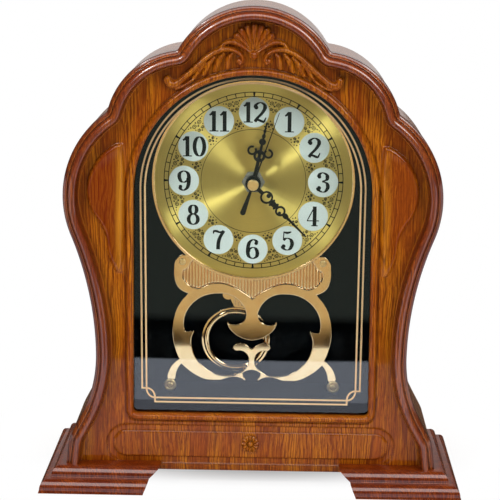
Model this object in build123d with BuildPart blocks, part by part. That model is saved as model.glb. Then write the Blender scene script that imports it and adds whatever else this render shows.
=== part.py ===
from build123d import *
from math import asin, atan, atan2, cos, degrees, hypot, radians, sin, sqrt, tan
import os

os.makedirs("parts", exist_ok=True)

# Desk pendulum clock. Sizes are in millimetres and degrees.
# X runs to the right, the front faces -Y, Z is up and the clock stands on Z = 0.

# Fits
fit = 0.25
running_clearance = 0.06
press_clearance = 0.02
screw_clearance = 0.2
thread_clearance = 0.05

# Feet
foot_span = 270.0
foot_depth = 100.0
foot_height = 15.0
pad_thickness = 0.8
pad_radius = 5.0
lower_step_inset = 2.4
lower_step_height = 8.2
lower_step_round = 2.6
cove_radius = 3.4
cove_start = 5.6
top_edge_round = 2.8
foot_inner_bottom = 68.0
foot_inner_step = 64.5
foot_inner_top = 57.5
counterbore_depth = 5.7
pad_edge = 5.5
foot_screw_x = 100.0
foot_screw_y = 18.0

# Outline of the case front, half-widths and heights
case_bottom = 11.0
top_lobe_z = 256.5
top_lobe_radius = 53.0
shoulder_lobe_x = 41.2
shoulder_lobe_z = 233.4
shoulder_lobe_radius = 49.2
side_lobe_x = 52.6
side_lobe_z = 191.3
side_lobe_radius = 64.8
waist_half = 98.4
waist_z = 90.5
flare_z = 48.2
ankle_half = 116.5
ankle_z = 34.0
ankle_radius = 20.0
base_half = 119.5
notch_radius = 3.0

# Depths of the case along Y
ridge_y = -38.0
ridge_width = 10.0
ridge_round = 7.5
ridge_inner_round = 1.8
panel_y = -29.0
panel_cove = 2.4
frame_back_y = -26.0
shell_back_y = 30.0
band_inset = 0.4
shell_wall = 2.5
tongue_width = 2.0
tongue_depth = 4.0
cover_thickness = 2.5
cover_recess = 1.0
cover_boss_radius = 5.0
cover_boss_bite = 1.0
cover_boss_length = 12.0
access_width = 80.0
access_height = 72.0
access_corner = 6.0

# Window, glass and inner tray
frame_strip = 24.4
window_flare = 1.5
window_arch_z = 193.5
window_bottom = 49.5
window_corner = 3.0
bead_width = 4.3
bead_height = 2.2
glass_thickness = 2.0
glass_margin = 3.0
seat_width = 8.0
flange_margin = 12.0
flange_thickness = 2.0
tray_margin = 2.5
tray_wall = 2.0
tray_floor_z = 57.0
tray_back_y = 16.0

# Ornament of the front panel; a leaf is given by distances from the window side and heights
stadium_z = 28.5
stadium_half = 93.2
stadium_height = 26.8
channel_width = 4.6
channel_depth = 0.8
rosette_z = 29.6
rosette_radius = 6.2
rosette_height = 1.7
leaf_height = 2.4
leaf_outer = [
    (10.5, 224.0),
    (21.2, 215.7),
    (28.8, 198.4),
    (25.8, 182.5),
    (17.3, 166.6),
    (16.1, 155.2),
    (10.7, 142.8),
]
leaf_inner = [(7.9, 162.0), (7.1, 187.0), (7.3, 212.0)]

# Dial and its discs
dial_z = 198.0
dial_y = -7.0
dial_thickness = 0.8
bezel_largest = 64.5
bezel_gap = 9.5
bezel_wall = 1.1
bezel_lip = 2.0
bezel_height = 2.0
bezel_round = 0.5
disc_edge = 19.4
disc_share = 0.216
disc_thickness = 0.4
disc_count = 12

# Fret plate: the right half of its outline and of its opening, as points of joined arcs
fret_thickness = 3.0
fret_ring_inner = 46.0
fret_edge = 0.4
fret_boss = (53.4, 61.3)
fret_boss_radius = 4.1
fret_ear = (45.2, 144.8)
fret_shoulder = [(0, 150.0), (38.0, 154.0), (40.2, 150.6)]
fret_outer = [
    *[(40.2, 150.6), (42.4, 149.6), (45.4, 149.5), (49.3, 146.4), (50.6, 140.7), (50.7, 134.7)],
    *[(49.0, 128.7), (45.9, 125.4), (41.6, 123.6), (47.2, 116.9), (50.6, 108.0), (52.0, 97.0)],
    *[(50.2, 86.0), (49.1, 82.5), (47.6, 79.2), (51.9, 75.5), (54.6, 70.5), (55.3, 68.2), (55.5, 66.0)],
]
fret_lower = [
    *[(49.6, 65.5), (48.8, 70.6), (46.0, 75.5), (40.4, 70.3), (33.9, 66.3), (26.8, 64.3), (19.4, 64.8)],
    *[(15.8, 66.2), (12.2, 66.9), (8.2, 66.5), (4.7, 64.6), (3.7, 65.1), (3.9, 66.2), (5.2, 67.8)],
    *[(5.7, 69.7), (3.0, 71.3), (0, 71.9)],
]
fret_anchor = [
    *[(0, 92.2), (7.0, 93.9), (13.0, 98.0), (15.0, 100.6), (16.0, 103.0), (16.1, 104.3), (15.3, 104.9)],
    *[(14.9, 103.7), (13.6, 103.2), (8.2, 103.6), (4.6, 106.9), (3.9, 109.6), (4.6, 113.0), (11.0, 121.0)],
    *[(21.5, 123.6), (34.8, 119.9), (42.9, 110.0), (44.2, 104.5), (43.9, 98.9)],
]
fret_spur = [(43.9, 98.9), (43.2, 97.9), (38.6, 98.1), (37.7, 98.7), (37.6, 97.6)]
fret_bowl = [
    *[(37.6, 97.6), (38.9, 94.6), (39.5, 90.0), (37.6, 82.2), (31.9, 74.6), (24.0, 69.4), (15.5, 67.9)],
    *[(7.5, 70.2), (2.7, 75.2), (1.9, 78.0), (2.2, 80.8), (4.6, 84.1), (8.6, 85.2), (11.9, 86.4)],
    *[(11.0, 89.8), (7.2, 90.6), (3.6, 89.4)],
]
fret_fork = [(3.6, 89.4), (0, 86.6), (0, 92.2)]
rib_lower = [
    *[(0, 120.4), (7.6, 126.0), (14.4, 129.4), (22.1, 130.9), (28.6, 129.9), (32.0, 128.1), (35.1, 127.1)],
    *[(39.6, 128.3), (43.5, 132.1), (45.3, 135.7), (44.1, 139.4), (41.4, 140.8), (40.2, 143.5)],
]
rib_upper = [(40.2, 143.5), (36.0, 149.0), (0, 138.0), (0, 120.4)]
rib_pitch = 2.0
rib_radius = 0.75
rib_count = 45
rib_recess = 1.0
post_radius = 3.2

# Hands, placed at the time that the photograph shows; ornaments by distance from the axis
hour_angle = 12.0
minute_angle = 135.0
second_angle = 19.3
hand_thickness = 0.6
hour_hand_y = -12.0
minute_hand_y = -14.8
second_hand_y = -18.0
hand_hub_radius = 4.75
hand_wire = 1.0
stem_half = 1.3
stem_tip_half = 0.35
hour_length = 39.0
palmette_rise = 17.6
palmette_radius = 3.6
palmette_eye = (1.5, 0.8, 1.5)
scroll_spot = (5.2, 20.2)
scroll_radius = 2.9
scroll_gap = (4.0, 22.4)
scroll_gap_radius = 0.9
hour_beads = [(26.8, 2.0, 1.9), (30.4, 1.0, 1.4), (33.8, 0.8, 1.2)]
minute_length = 47.5
minute_rings = [(12.1, 4.0), (24.4, 3.2)]
minute_balls = [(-1.7, 12.3, 1.3), (1.3, 25.0, 0.9)]
minute_beads = [(18.3, 1.6, 3.6), (16.9, 2.5, 0.9), (20.3, 2.3, 0.9), (29.0, 1.5, 2.2)]
second_length = 48.0
second_tail = 20.6
second_half = 0.55
second_tip_half = 0.2
club_radius = 1.7
cap_radius = 3.5
cap_height = 2.2

# Movement
movement_size = 56.0
movement_wall = 1.8
movement_split_y = 9.0
movement_back_y = 17.0
bush_radius = 4.5
bush_length = 4.3
nut_radius = 7.4
nut_sides = 6
nut_height = 2.5
hour_tube_radius = 2.4
minute_tube_radius = 1.5
second_arbor_radius = 0.6
stud_radius = 0.4
motion_stud_radius = 0.6
bridge_y = 8.6
bridge_thickness = 1.0

# Gear teeth, with tooth counts of the motion work and of the going train
addendum = 0.85
dedendum = 1.2
tooth_share = 0.42
flank_angle = 20.0
gear_thickness = 1.2
cannon_teeth = 10
motion_teeth = 30
motion_pinion_teeth = 8
hour_teeth = 32
setting_teeth = 10
motion_distance = 12.0
motion_direction = 150.0
second_pinion_teeth = 8
third_teeth = 60
third_pinion_teeth = 8
minute_wheel_teeth = 64
third_distance = 14.0
third_direction = 30.0
second_teeth = 40
inter_pinion_teeth = 8
inter_teeth = 36
inter_distance = 11.0
inter_direction = 90.0
rotor_teeth = 6
rotor_distance = 8.5
rotor_direction = 40.0
hour_layer = -3.0
motion_layer = -1.4
minute_layer = 0.3
third_layer = 1.9
second_layer = 3.5
inter_layer = 5.1
layer_gap = 0.4
magnet_radius = 2.8
magnet_height = 1.8
setting_arbor_radius = 1.5
knob_radius = 6.0
knob_height = 4.5
knob_gap = 0.4

# Electrical parts of the movement
battery_radius = 7.1
battery_length = 49.2
battery_nub_radius = 2.7
battery_nub_length = 1.3
battery_z = 179.2
battery_y = 9.0
contact_thickness = 0.5
contact_size = 8.0
trough_half_height = 7.5
trough_wall = 1.0
coil_radius = 2.8
coil_length = 22.0
core_radius = 1.0
coil_rise = 22.8
coil_y = 3.0
stator_y = 7.2
stator_thickness = 1.0
stator_eye = 5.6
stator_hole = 3.2
stator_half = 14.0
stator_bar = 5.0
board_width = 22.0
board_height = 10.0
board_thickness = 1.0
board_x = 12.0
board_rise = -2.0
drive_coil_radius = 5.0
drive_coil_height = 3.0
drive_coil_z = 178.0

# Pendulum, shown at the end of its swing to the left
pivot_z = 165.0
pendulum_y = 5.0
pendulum_length = 75.5
pendulum_rest = 8.2
pivot_pin_radius = 1.0
lug_width = 9.0
lug_drop = 8.5
lug_thickness = 2.0
hanger_width = 7.0
hanger_top = 3.6
hanger_length = 14.0
hanger_thickness = 3.0
rod_width = 2.4
rod_thickness = 1.2
rod_start = 5.0
bob_radius = 22.5
bob_band = 5.4
bob_depth = 4.0
bob_fin = 1.2
crest_half = 13.0
crest_height = 11.0
crest_thickness = 1.0
crest_neck = 0.35
crest_flank = 0.62
crest_curl = 0.32
crest_rib_pitch = 2.2
crest_rib_radius = 0.7
crest_rib_count = 5

# Screws
cover_screw_radius = 1.4
cover_head_radius = 3.0
cover_head_height = 1.6
cover_screw_length = 8.0
tray_screw_radius = 1.2
tray_head_radius = 2.4
tray_head_height = 1.4
tray_screw_length = 3.4
fret_screw_radius = 1.2
fret_head_radius = 2.2
fret_head_height = 1.4
fret_head_round = 1.1
foot_screw_radius = 1.5
foot_head_radius = 3.0
foot_head_height = 2.0
foot_screw_length = 9.5
slot_width = 0.7
slot_depth = 0.6

# Values worked out from the sizes above
foot_bottom = pad_thickness
foot_top = foot_bottom + foot_height
bead_y = panel_y - bead_height
glass_back_y = frame_back_y + glass_thickness
flange_back_y = glass_back_y + flange_thickness
tray_inner_y = tray_back_y - tray_wall
cover_back_y = shell_back_y - cover_recess
cover_front_y = cover_back_y - cover_thickness
fret_front_y = dial_y + dial_thickness
fret_back_y = fret_front_y + fret_thickness
movement_front_y = fret_front_y
movement_inner_y = movement_front_y + movement_wall
movement_half = movement_size / 2
movement_bottom = dial_z - movement_half
seat_mid = glass_margin + fit + seat_width / 2
side_drop = side_lobe_z - waist_z
side_bulge = side_lobe_radius - (waist_half - side_lobe_x)
side_span = (side_drop**2 + side_bulge**2) / (2 * side_bulge)
side_sweep = degrees(asin(side_drop / side_span))
waist_radius = side_span - side_lobe_radius
window_half = waist_half - frame_strip
window_foot_half = window_half + window_flare
bezel_radius = min(bezel_largest, window_half - bezel_gap)
dial_radius = bezel_radius - bezel_wall
disc_circle = dial_radius - disc_edge
disc_radius = disc_share * disc_circle
motion_module = 2 * motion_distance / (cannon_teeth + motion_teeth)
hour_module = 2 * motion_distance / (motion_pinion_teeth + hour_teeth)
setting_distance = motion_module * (motion_teeth + setting_teeth) / 2
third_module = 2 * third_distance / (second_pinion_teeth + third_teeth)
minute_module = 2 * third_distance / (third_pinion_teeth + minute_wheel_teeth)
second_module = 2 * inter_distance / (second_teeth + inter_pinion_teeth)
rotor_module = 2 * rotor_distance / (inter_teeth + rotor_teeth)

# The flare is an arc and a straight run that together reach from the waist to the ankle.
# With t the tangent of half its angle they reach arc_drop * t + line_drop * 2 t / (1 - t * t).
arc_drop = waist_z - flare_z
line_drop = flare_z - ankle_z
flare_run = ankle_half - waist_half
half_tangent = flare_run / (arc_drop + 2 * line_drop)
for turn in range(8):
    reached = arc_drop * half_tangent + 2 * line_drop * half_tangent / (1 - half_tangent**2)
    half_tangent *= flare_run / reached
flare_angle = 2 * degrees(atan(half_tangent))
flare_radius = arc_drop / sin(radians(flare_angle))


def front_plane(y):
    # A plane facing the viewer at depth y, with local x along X and local y along Z.
    return Plane.XZ.offset(-y)


def turned_plane(y, z, angle):
    # A front plane on the axis at height z, turned clockwise as the viewer sees it.
    turn = radians(angle)
    return Plane(origin=(0, y, z), x_dir=(cos(turn), 0, -sin(turn)), z_dir=(0, -1, 0))


def toward(start, distance, direction):
    return (
        start[0] + distance * cos(radians(direction)),
        start[1] + distance * sin(radians(direction)),
    )


def arc_run(*points):
    # Arcs through each three points in turn, the last of one being the first of the next.
    for first, middle, last in zip(points[0::2], points[1::2], points[2::2]):
        ThreePointArc(first, middle, last)


def arc_between(centre, radius, start, end):
    # An arc about centre from the direction of one point to that of another, the short way.
    first = degrees(atan2(start[1] - centre[1], start[0] - centre[0]))
    last = degrees(atan2(end[1] - centre[1], end[0] - centre[0]))
    return CenterArc(centre, radius, first, (last - first + 180) % 360 - 180)


def notch_centre(first, first_radius, second, second_radius):
    # Centre of the round that fills the notch between two lobes, on their outer side.
    near = first_radius + notch_radius
    far = second_radius + notch_radius
    step = (second[0] - first[0], second[1] - first[1])
    gap = hypot(*step)
    along = (near**2 - far**2 + gap**2) / (2 * gap)
    across = sqrt(near**2 - along**2)
    return (
        first[0] + (along * step[0] - across * step[1]) / gap,
        first[1] + (along * step[1] + across * step[0]) / gap,
    )


def case_face(inset, bottom):
    # The case outline, moved in by inset, with its lower edge at bottom before the move.
    # Every arc keeps its centre; lobes shrink by the inset and hollows grow by it.
    top = (0, top_lobe_z)
    shoulder = (shoulder_lobe_x, shoulder_lobe_z)
    side = (side_lobe_x, side_lobe_z)
    upper_notch = notch_centre(top, top_lobe_radius, shoulder, shoulder_lobe_radius)
    lower_notch = notch_centre(shoulder, shoulder_lobe_radius, side, side_lobe_radius)
    waist_centre = (waist_half + waist_radius, waist_z)
    flare_centre = (waist_half + flare_radius, waist_z)
    flare = radians(flare_angle)
    ankle = (ankle_half, ankle_z)
    splay = atan2(base_half - ankle[0], ankle_z - case_bottom)
    shift = inset / (1 + cos(flare - splay))
    low_ankle = (ankle[0] - shift * (cos(flare) + cos(splay)), ankle[1] - shift * (sin(flare) + sin(splay)))
    corner = (low_ankle[0] + (low_ankle[1] - bottom - inset) * tan(splay), bottom + inset)
    with BuildSketch() as face:
        with BuildLine():
            arc_between(top, top_lobe_radius - inset, (0, top_lobe_z + top_lobe_radius), upper_notch)
            arc_between(upper_notch, notch_radius + inset, top, shoulder)
            arc_between(shoulder, shoulder_lobe_radius - inset, upper_notch, lower_notch)
            arc_between(lower_notch, notch_radius + inset, shoulder, side)
            arc_between(side, side_lobe_radius - inset, lower_notch, waist_centre)
            arc_between(waist_centre, waist_radius + inset, side, (waist_half, waist_z))
            curve = CenterArc(flare_centre, flare_radius + inset, 180, flare_angle)
            FilletPolyline(curve @ 1, low_ankle, corner, radius=ankle_radius - inset)
            mirror(about=Plane.YZ)
            Line(corner, (-corner[0], corner[1]))
        make_face()
    return face.sketch


def window_side(z):
    # Half-width of the window at height z.
    share = (window_arch_z - z) / (window_arch_z - window_bottom)
    return window_half + (window_foot_half - window_half) * share


def beside_window(points):
    # Points given by their distance from the window side and their height.
    return [(window_half + away, z) for away, z in points]


def window_face(margin, bottom):
    # The window outline, moved out by margin, with its lower edge at bottom before the move.
    foot = (window_side(bottom), bottom)
    with BuildSketch() as face:
        with BuildLine():
            CenterArc((0, window_arch_z), window_half, 0, 180)
            Polyline((window_half, window_arch_z), foot, (-foot[0], bottom), (-window_half, window_arch_z))
        make_face()
        fillet(face.vertices().group_by(Axis.Y)[0], window_corner)
        if margin:
            offset(amount=margin)
    return face.sketch


def gear_face(teeth, module, bore, phase):
    # A wheel with straight-flanked teeth, one of them centred at the angle phase.
    pitch_radius = teeth * module / 2
    tip_radius = pitch_radius + addendum * module
    root_radius = pitch_radius - dedendum * module
    half_tooth = tooth_share * 180 / teeth
    tip_half = half_tooth - degrees(addendum * module * tan(radians(flank_angle)) / tip_radius)
    points = []
    for tooth in range(teeth):
        middle = phase + 360 * tooth / teeth
        points.append(toward((0, 0), root_radius, middle - half_tooth))
        points.append(toward((0, 0), tip_radius, middle - tip_half))
        points.append(toward((0, 0), tip_radius, middle + tip_half))
        points.append(toward((0, 0), root_radius, middle + half_tooth))
    with BuildSketch() as face:
        Polygon(*points, align=None)
        if bore:
            Circle(bore, mode=Mode.SUBTRACT)
    return face.sketch


def gap_phase(teeth, direction):
    # Turns a wheel so that a gap, not a tooth, lies toward the direction.
    return direction + 180 / teeth


dial_centre = (0, dial_z)
motion_axis = toward(dial_centre, motion_distance, motion_direction)
setting_axis = toward(motion_axis, setting_distance, motion_direction)
third_axis = toward(dial_centre, third_distance, third_direction)
inter_axis = toward(dial_centre, inter_distance, inter_direction)
rotor_axis = toward(inter_axis, rotor_distance, rotor_direction)
ear_spots = [fret_ear, (-fret_ear[0], fret_ear[1])]
boss_spots = [fret_boss, (-fret_boss[0], fret_boss[1])]
fret_spots = ear_spots + boss_spots
wall_line = band_inset + shell_wall
boss_reach = wall_line + cover_boss_radius - cover_boss_bite
side_boss_x = side_lobe_x + side_lobe_radius - boss_reach
base_boss_z = case_bottom + wall_line + cover_boss_radius + cover_boss_bite
cover_spots = [
    (0, top_lobe_z + top_lobe_radius - boss_reach),
    (side_boss_x, side_lobe_z),
    (-side_boss_x, side_lobe_z),
    (base_half - boss_reach - cover_boss_bite, base_boss_z),
    (-base_half + boss_reach + cover_boss_bite, base_boss_z),
]
low_seat_z = window_bottom + 2 * window_half / 5
high_seat_z = window_arch_z - 2 * window_half / 5
arch_seat = window_half + seat_mid
tray_spots = [
    (window_side(low_seat_z) + seat_mid, low_seat_z),
    (-window_side(low_seat_z) - seat_mid, low_seat_z),
    (window_side(high_seat_z) + seat_mid, high_seat_z),
    (-window_side(high_seat_z) - seat_mid, high_seat_z),
    toward((0, window_arch_z), arch_seat, 55),
    toward((0, window_arch_z), arch_seat, 125),
]


# Front frame: a moulded border that rolls over to a ridge around the sunk panel.
with BuildPart() as front_frame:
    with BuildSketch(front_plane(frame_back_y)):
        add(case_face(0, case_bottom))
    extrude(amount=frame_back_y - ridge_y)
    rim = front_frame.faces().sort_by(Axis.Y)[0].outer_wire().edges()
    fillet(rim.filter_by(lambda e: e.center().Z > case_bottom + fit), ridge_round)
    with BuildSketch(front_plane(panel_y)):
        add(case_face(ridge_width, case_bottom - 2 * ridge_width))
    extrude(amount=2 * (panel_y - ridge_y), mode=Mode.SUBTRACT)
    inner_rim = front_frame.edges(Select.LAST).filter_by_position(Axis.Y, ridge_y - fit, ridge_y + fit)
    fillet(inner_rim.filter_by(lambda e: e.center().Z > case_bottom + fit), ridge_inner_round)
    ridge_line = front_frame.edges().filter_by_position(Axis.Y, panel_y - fit, panel_y + fit)
    fillet(ridge_line.filter_by(lambda e: e.center().Z > case_bottom + fit), panel_cove)
    # The bead around the window stands on the panel.
    with BuildSketch(front_plane(frame_back_y)):
        add(window_face(bead_width, window_bottom))
    extrude(amount=frame_back_y - bead_y)
    with BuildSketch(front_plane(frame_back_y)):
        add(window_face(0, window_bottom))
    extrude(amount=2 * (frame_back_y - ridge_y), mode=Mode.SUBTRACT)
    bead_line = front_frame.edges().filter_by_position(Axis.Y, bead_y - fit, bead_y + fit)
    fillet(bead_line, bead_height * 0.8)
    # Two leaves rise beside the window.
    with BuildSketch(front_plane(panel_y)):
        with BuildLine():
            arc_run(*beside_window(leaf_outer))
            Polyline(*beside_window(leaf_outer[-1:] + leaf_inner + leaf_outer[:1]))
        make_face()
        mirror(about=Plane.YZ)
    extrude(amount=leaf_height)
    # A shallow channel and a boss for the rosette lie under the window.
    field_half = stadium_half - channel_width
    field_height = stadium_height - 2 * channel_width
    with BuildSketch(front_plane(panel_y)):
        with Locations((0, stadium_z)):
            SlotOverall(2 * stadium_half, stadium_height)
            SlotOverall(2 * field_half, field_height, mode=Mode.SUBTRACT)
    extrude(amount=-channel_depth, mode=Mode.SUBTRACT)
    with BuildSketch(front_plane(panel_y)):
        with Locations((0, rosette_z)):
            Circle(rosette_radius)
    extrude(amount=rosette_height, taper=20)
    # On the back, a tongue enters the shell and a seat surrounds the glass.
    with BuildSketch(front_plane(frame_back_y + tongue_depth)):
        add(case_face(wall_line + fit, case_bottom))
        add(case_face(wall_line + fit + tongue_width, case_bottom), mode=Mode.SUBTRACT)
    extrude(amount=tongue_depth)
    with BuildSketch(front_plane(glass_back_y)):
        add(window_face(glass_margin + fit + seat_width, window_bottom))
        add(window_face(glass_margin + fit, window_bottom), mode=Mode.SUBTRACT)
    extrude(amount=glass_thickness)
    with BuildSketch(front_plane(glass_back_y)):
        with Locations(*tray_spots):
            Circle(tray_screw_radius + thread_clearance)
    extrude(amount=tray_screw_length - flange_thickness + thread_clearance, mode=Mode.SUBTRACT)
front_frame.part.label = "front_frame"
export_step(front_frame.part, "parts/front_frame.step")


# Case shell: a hollow band behind the frame, with bosses for the rear cover.
with BuildPart() as case_shell:
    with BuildSketch(front_plane(shell_back_y)):
        add(case_face(band_inset, case_bottom))
        add(case_face(wall_line, case_bottom), mode=Mode.SUBTRACT)
    extrude(amount=shell_back_y - frame_back_y)
    with BuildSketch(front_plane(cover_front_y)):
        with Locations(*cover_spots):
            Circle(cover_boss_radius)
    extrude(amount=cover_boss_length)
    with BuildSketch(front_plane(cover_front_y)):
        with Locations(*cover_spots):
            Circle(cover_screw_radius + thread_clearance)
    extrude(amount=cover_screw_length, mode=Mode.SUBTRACT)
    foot_screw_spots = [
        (foot_screw_x, foot_screw_y),
        (foot_screw_x, -foot_screw_y),
        (-foot_screw_x, foot_screw_y),
        (-foot_screw_x, -foot_screw_y),
    ]
    with BuildSketch(Plane.XY.offset(case_bottom)):
        with Locations(*foot_screw_spots):
            Circle(foot_screw_radius + thread_clearance)
    extrude(amount=wall_line + fit, mode=Mode.SUBTRACT)
case_shell.part.label = "case_shell"
export_step(case_shell.part, "parts/case_shell.step")


# Rear cover: a flat panel set into the shell, open behind the movement.
with BuildPart() as rear_cover:
    with BuildSketch(front_plane(cover_back_y)):
        add(case_face(wall_line + fit, case_bottom))
        with Locations(dial_centre):
            RectangleRounded(access_width, access_height, access_corner, mode=Mode.SUBTRACT)
        with Locations(*cover_spots):
            Circle(cover_screw_radius + screw_clearance, mode=Mode.SUBTRACT)
    extrude(amount=cover_thickness)
rear_cover.part.label = "rear_cover"
export_step(rear_cover.part, "parts/rear_cover.step")


with BuildPart() as rear_cover_screws:
    with BuildSketch(front_plane(cover_back_y)):
        with Locations(*cover_spots):
            Circle(cover_screw_radius)
    extrude(amount=cover_screw_length)
    with BuildSketch(front_plane(cover_back_y)):
        with Locations(*cover_spots):
            Circle(cover_head_radius)
    extrude(amount=-cover_head_height)
    with BuildSketch(front_plane(cover_back_y + cover_head_height)):
        with Locations(*cover_spots):
            Rectangle(cover_head_radius, slot_width)
            Rectangle(slot_width, cover_head_radius)
    extrude(amount=slot_depth, mode=Mode.SUBTRACT)
rear_cover_screws.part.label = "rear_cover_screws"
export_step(rear_cover_screws.part, "parts/rear_cover_screws.step")


def moulded_edge(edge, inward):
    # The stepped foot moulding from its lower edge to its top, going inward by the sign given.
    step_z = foot_bottom + lower_step_height
    cove_z = step_z + cove_radius
    cove = (edge + inward * cove_start, cove_z)
    wall = edge + inward * (cove_start + cove_radius)
    shelf = (edge + inward * lower_step_inset, step_z)
    FilletPolyline((edge, foot_bottom), shelf, (cove[0], step_z), radius=lower_step_round)
    CenterArc(cove, cove_radius, 270, 90 * inward)
    Line((wall, cove_z), (wall, foot_top - top_edge_round))
    crown = (wall + inward * top_edge_round, foot_top - top_edge_round)
    CenterArc(crown, top_edge_round, 90 + 90 * inward, -90 * inward)
    return (crown[0], foot_top)


# Right foot: the moulding runs along the front, the outer end and the back.
with BuildPart() as right_foot:
    with BuildSketch(Plane.YZ):
        with BuildLine():
            front_top = moulded_edge(-foot_depth / 2, 1)
            rear_top = moulded_edge(foot_depth / 2, -1)
            Line(front_top, rear_top)
            Line((-foot_depth / 2, foot_bottom), (foot_depth / 2, foot_bottom))
        make_face()
    extrude(amount=foot_span / 2)
    with BuildSketch(Plane.XZ):
        with BuildLine():
            outer_top = moulded_edge(foot_span / 2, -1)
            Polyline(
                outer_top,
                (foot_inner_top, foot_top),
                (foot_inner_step, foot_bottom + lower_step_height),
                (foot_inner_bottom, foot_bottom),
                (foot_span / 2, foot_bottom),
            )
        make_face()
    extrude(amount=foot_depth, both=True, mode=Mode.INTERSECT)
    # A pocket takes the lower corner of the case.
    with BuildSketch(front_plane(frame_back_y)):
        add(case_face(-fit, case_bottom + fit))
    extrude(amount=frame_back_y - panel_y + fit, mode=Mode.SUBTRACT)
    with BuildSketch(front_plane(panel_y)):
        add(case_face(-fit, case_bottom + fit))
        cleared = ridge_width + panel_cove + fit
        add(case_face(cleared, case_bottom - 2 * ridge_width), mode=Mode.SUBTRACT)
    extrude(amount=panel_y - ridge_y + fit, mode=Mode.SUBTRACT)
    with BuildSketch(front_plane(shell_back_y + fit)):
        add(case_face(band_inset - fit, case_bottom + fit))
    extrude(amount=shell_back_y + fit - frame_back_y, mode=Mode.SUBTRACT)
    # Screws from below sit in counterbores.
    with BuildSketch(Plane.XY.offset(foot_bottom)):
        with Locations((foot_screw_x, foot_screw_y), (foot_screw_x, -foot_screw_y)):
            Circle(foot_head_radius + fit)
    extrude(amount=counterbore_depth, mode=Mode.SUBTRACT)
    with BuildSketch(Plane.XY.offset(foot_bottom)):
        with Locations((foot_screw_x, foot_screw_y), (foot_screw_x, -foot_screw_y)):
            Circle(foot_screw_radius + screw_clearance)
    extrude(amount=foot_height, mode=Mode.SUBTRACT)
right_foot.part.label = "right_foot"
export_step(right_foot.part, "parts/right_foot.step")

with BuildPart() as left_foot:
    mirror(right_foot.part, about=Plane.YZ)
left_foot.part.label = "left_foot"
export_step(left_foot.part, "parts/left_foot.step")

pad_y = foot_depth / 2 - pad_edge - pad_radius
pad_inner_x = foot_inner_bottom + pad_edge + pad_radius
pad_outer_x = foot_span / 2 - pad_edge - pad_radius
with BuildPart() as foot_pads:
    with BuildSketch(Plane.XY):
        for pad_x in (pad_inner_x, pad_outer_x, -pad_inner_x, -pad_outer_x):
            with Locations((pad_x, pad_y), (pad_x, -pad_y)):
                Circle(pad_radius)
    extrude(amount=pad_thickness)
foot_pads.part.label = "foot_pads"
export_step(foot_pads.part, "parts/foot_pads.step")

foot_head_z = foot_bottom + counterbore_depth
with BuildPart() as foot_screws:
    with BuildSketch(Plane.XY.offset(foot_head_z)):
        with Locations(*foot_screw_spots):
            Circle(foot_screw_radius)
    extrude(amount=foot_screw_length)
    with BuildSketch(Plane.XY.offset(foot_head_z)):
        with Locations(*foot_screw_spots):
            Circle(foot_head_radius)
    extrude(amount=-foot_head_height)
foot_screws.part.label = "foot_screws"
export_step(foot_screws.part, "parts/foot_screws.step")


# Window glass and the black tray that clamps it and encloses the pendulum.
with BuildPart() as window_glass:
    with BuildSketch(front_plane(glass_back_y)):
        add(window_face(glass_margin, window_bottom))
    extrude(amount=glass_thickness)
window_glass.part.label = "window_glass"
export_step(window_glass.part, "parts/window_glass.step")

with BuildPart() as inner_tray:
    with BuildSketch(front_plane(tray_back_y)):
        add(window_face(tray_margin + tray_wall, tray_floor_z + tray_margin))
    extrude(amount=tray_back_y - glass_back_y)
    with BuildSketch(front_plane(flange_back_y)):
        add(window_face(flange_margin, window_bottom))
    extrude(amount=flange_thickness)
    with BuildSketch(front_plane(tray_inner_y)):
        add(window_face(tray_margin, tray_floor_z + tray_margin))
    extrude(amount=tray_inner_y - glass_back_y, mode=Mode.SUBTRACT)
    with BuildSketch(front_plane(tray_back_y)):
        with Locations(dial_centre):
            Rectangle(movement_size + 2 * fit, movement_size + 2 * fit)
        with Locations(*fret_spots):
            Circle(fret_screw_radius + thread_clearance)
    extrude(amount=tray_wall, mode=Mode.SUBTRACT)
    with BuildSketch(front_plane(flange_back_y)):
        with Locations(*tray_spots):
            Circle(tray_screw_radius + screw_clearance)
    extrude(amount=flange_thickness, mode=Mode.SUBTRACT)
inner_tray.part.label = "inner_tray"
export_step(inner_tray.part, "parts/inner_tray.step")

with BuildPart() as tray_screws:
    with BuildSketch(front_plane(flange_back_y)):
        with Locations(*tray_spots):
            Circle(tray_screw_radius)
    extrude(amount=tray_screw_length)
    with BuildSketch(front_plane(flange_back_y)):
        with Locations(*tray_spots):
            Circle(tray_head_radius)
    extrude(amount=-tray_head_height)
tray_screws.part.label = "tray_screws"
export_step(tray_screws.part, "parts/tray_screws.step")


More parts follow.
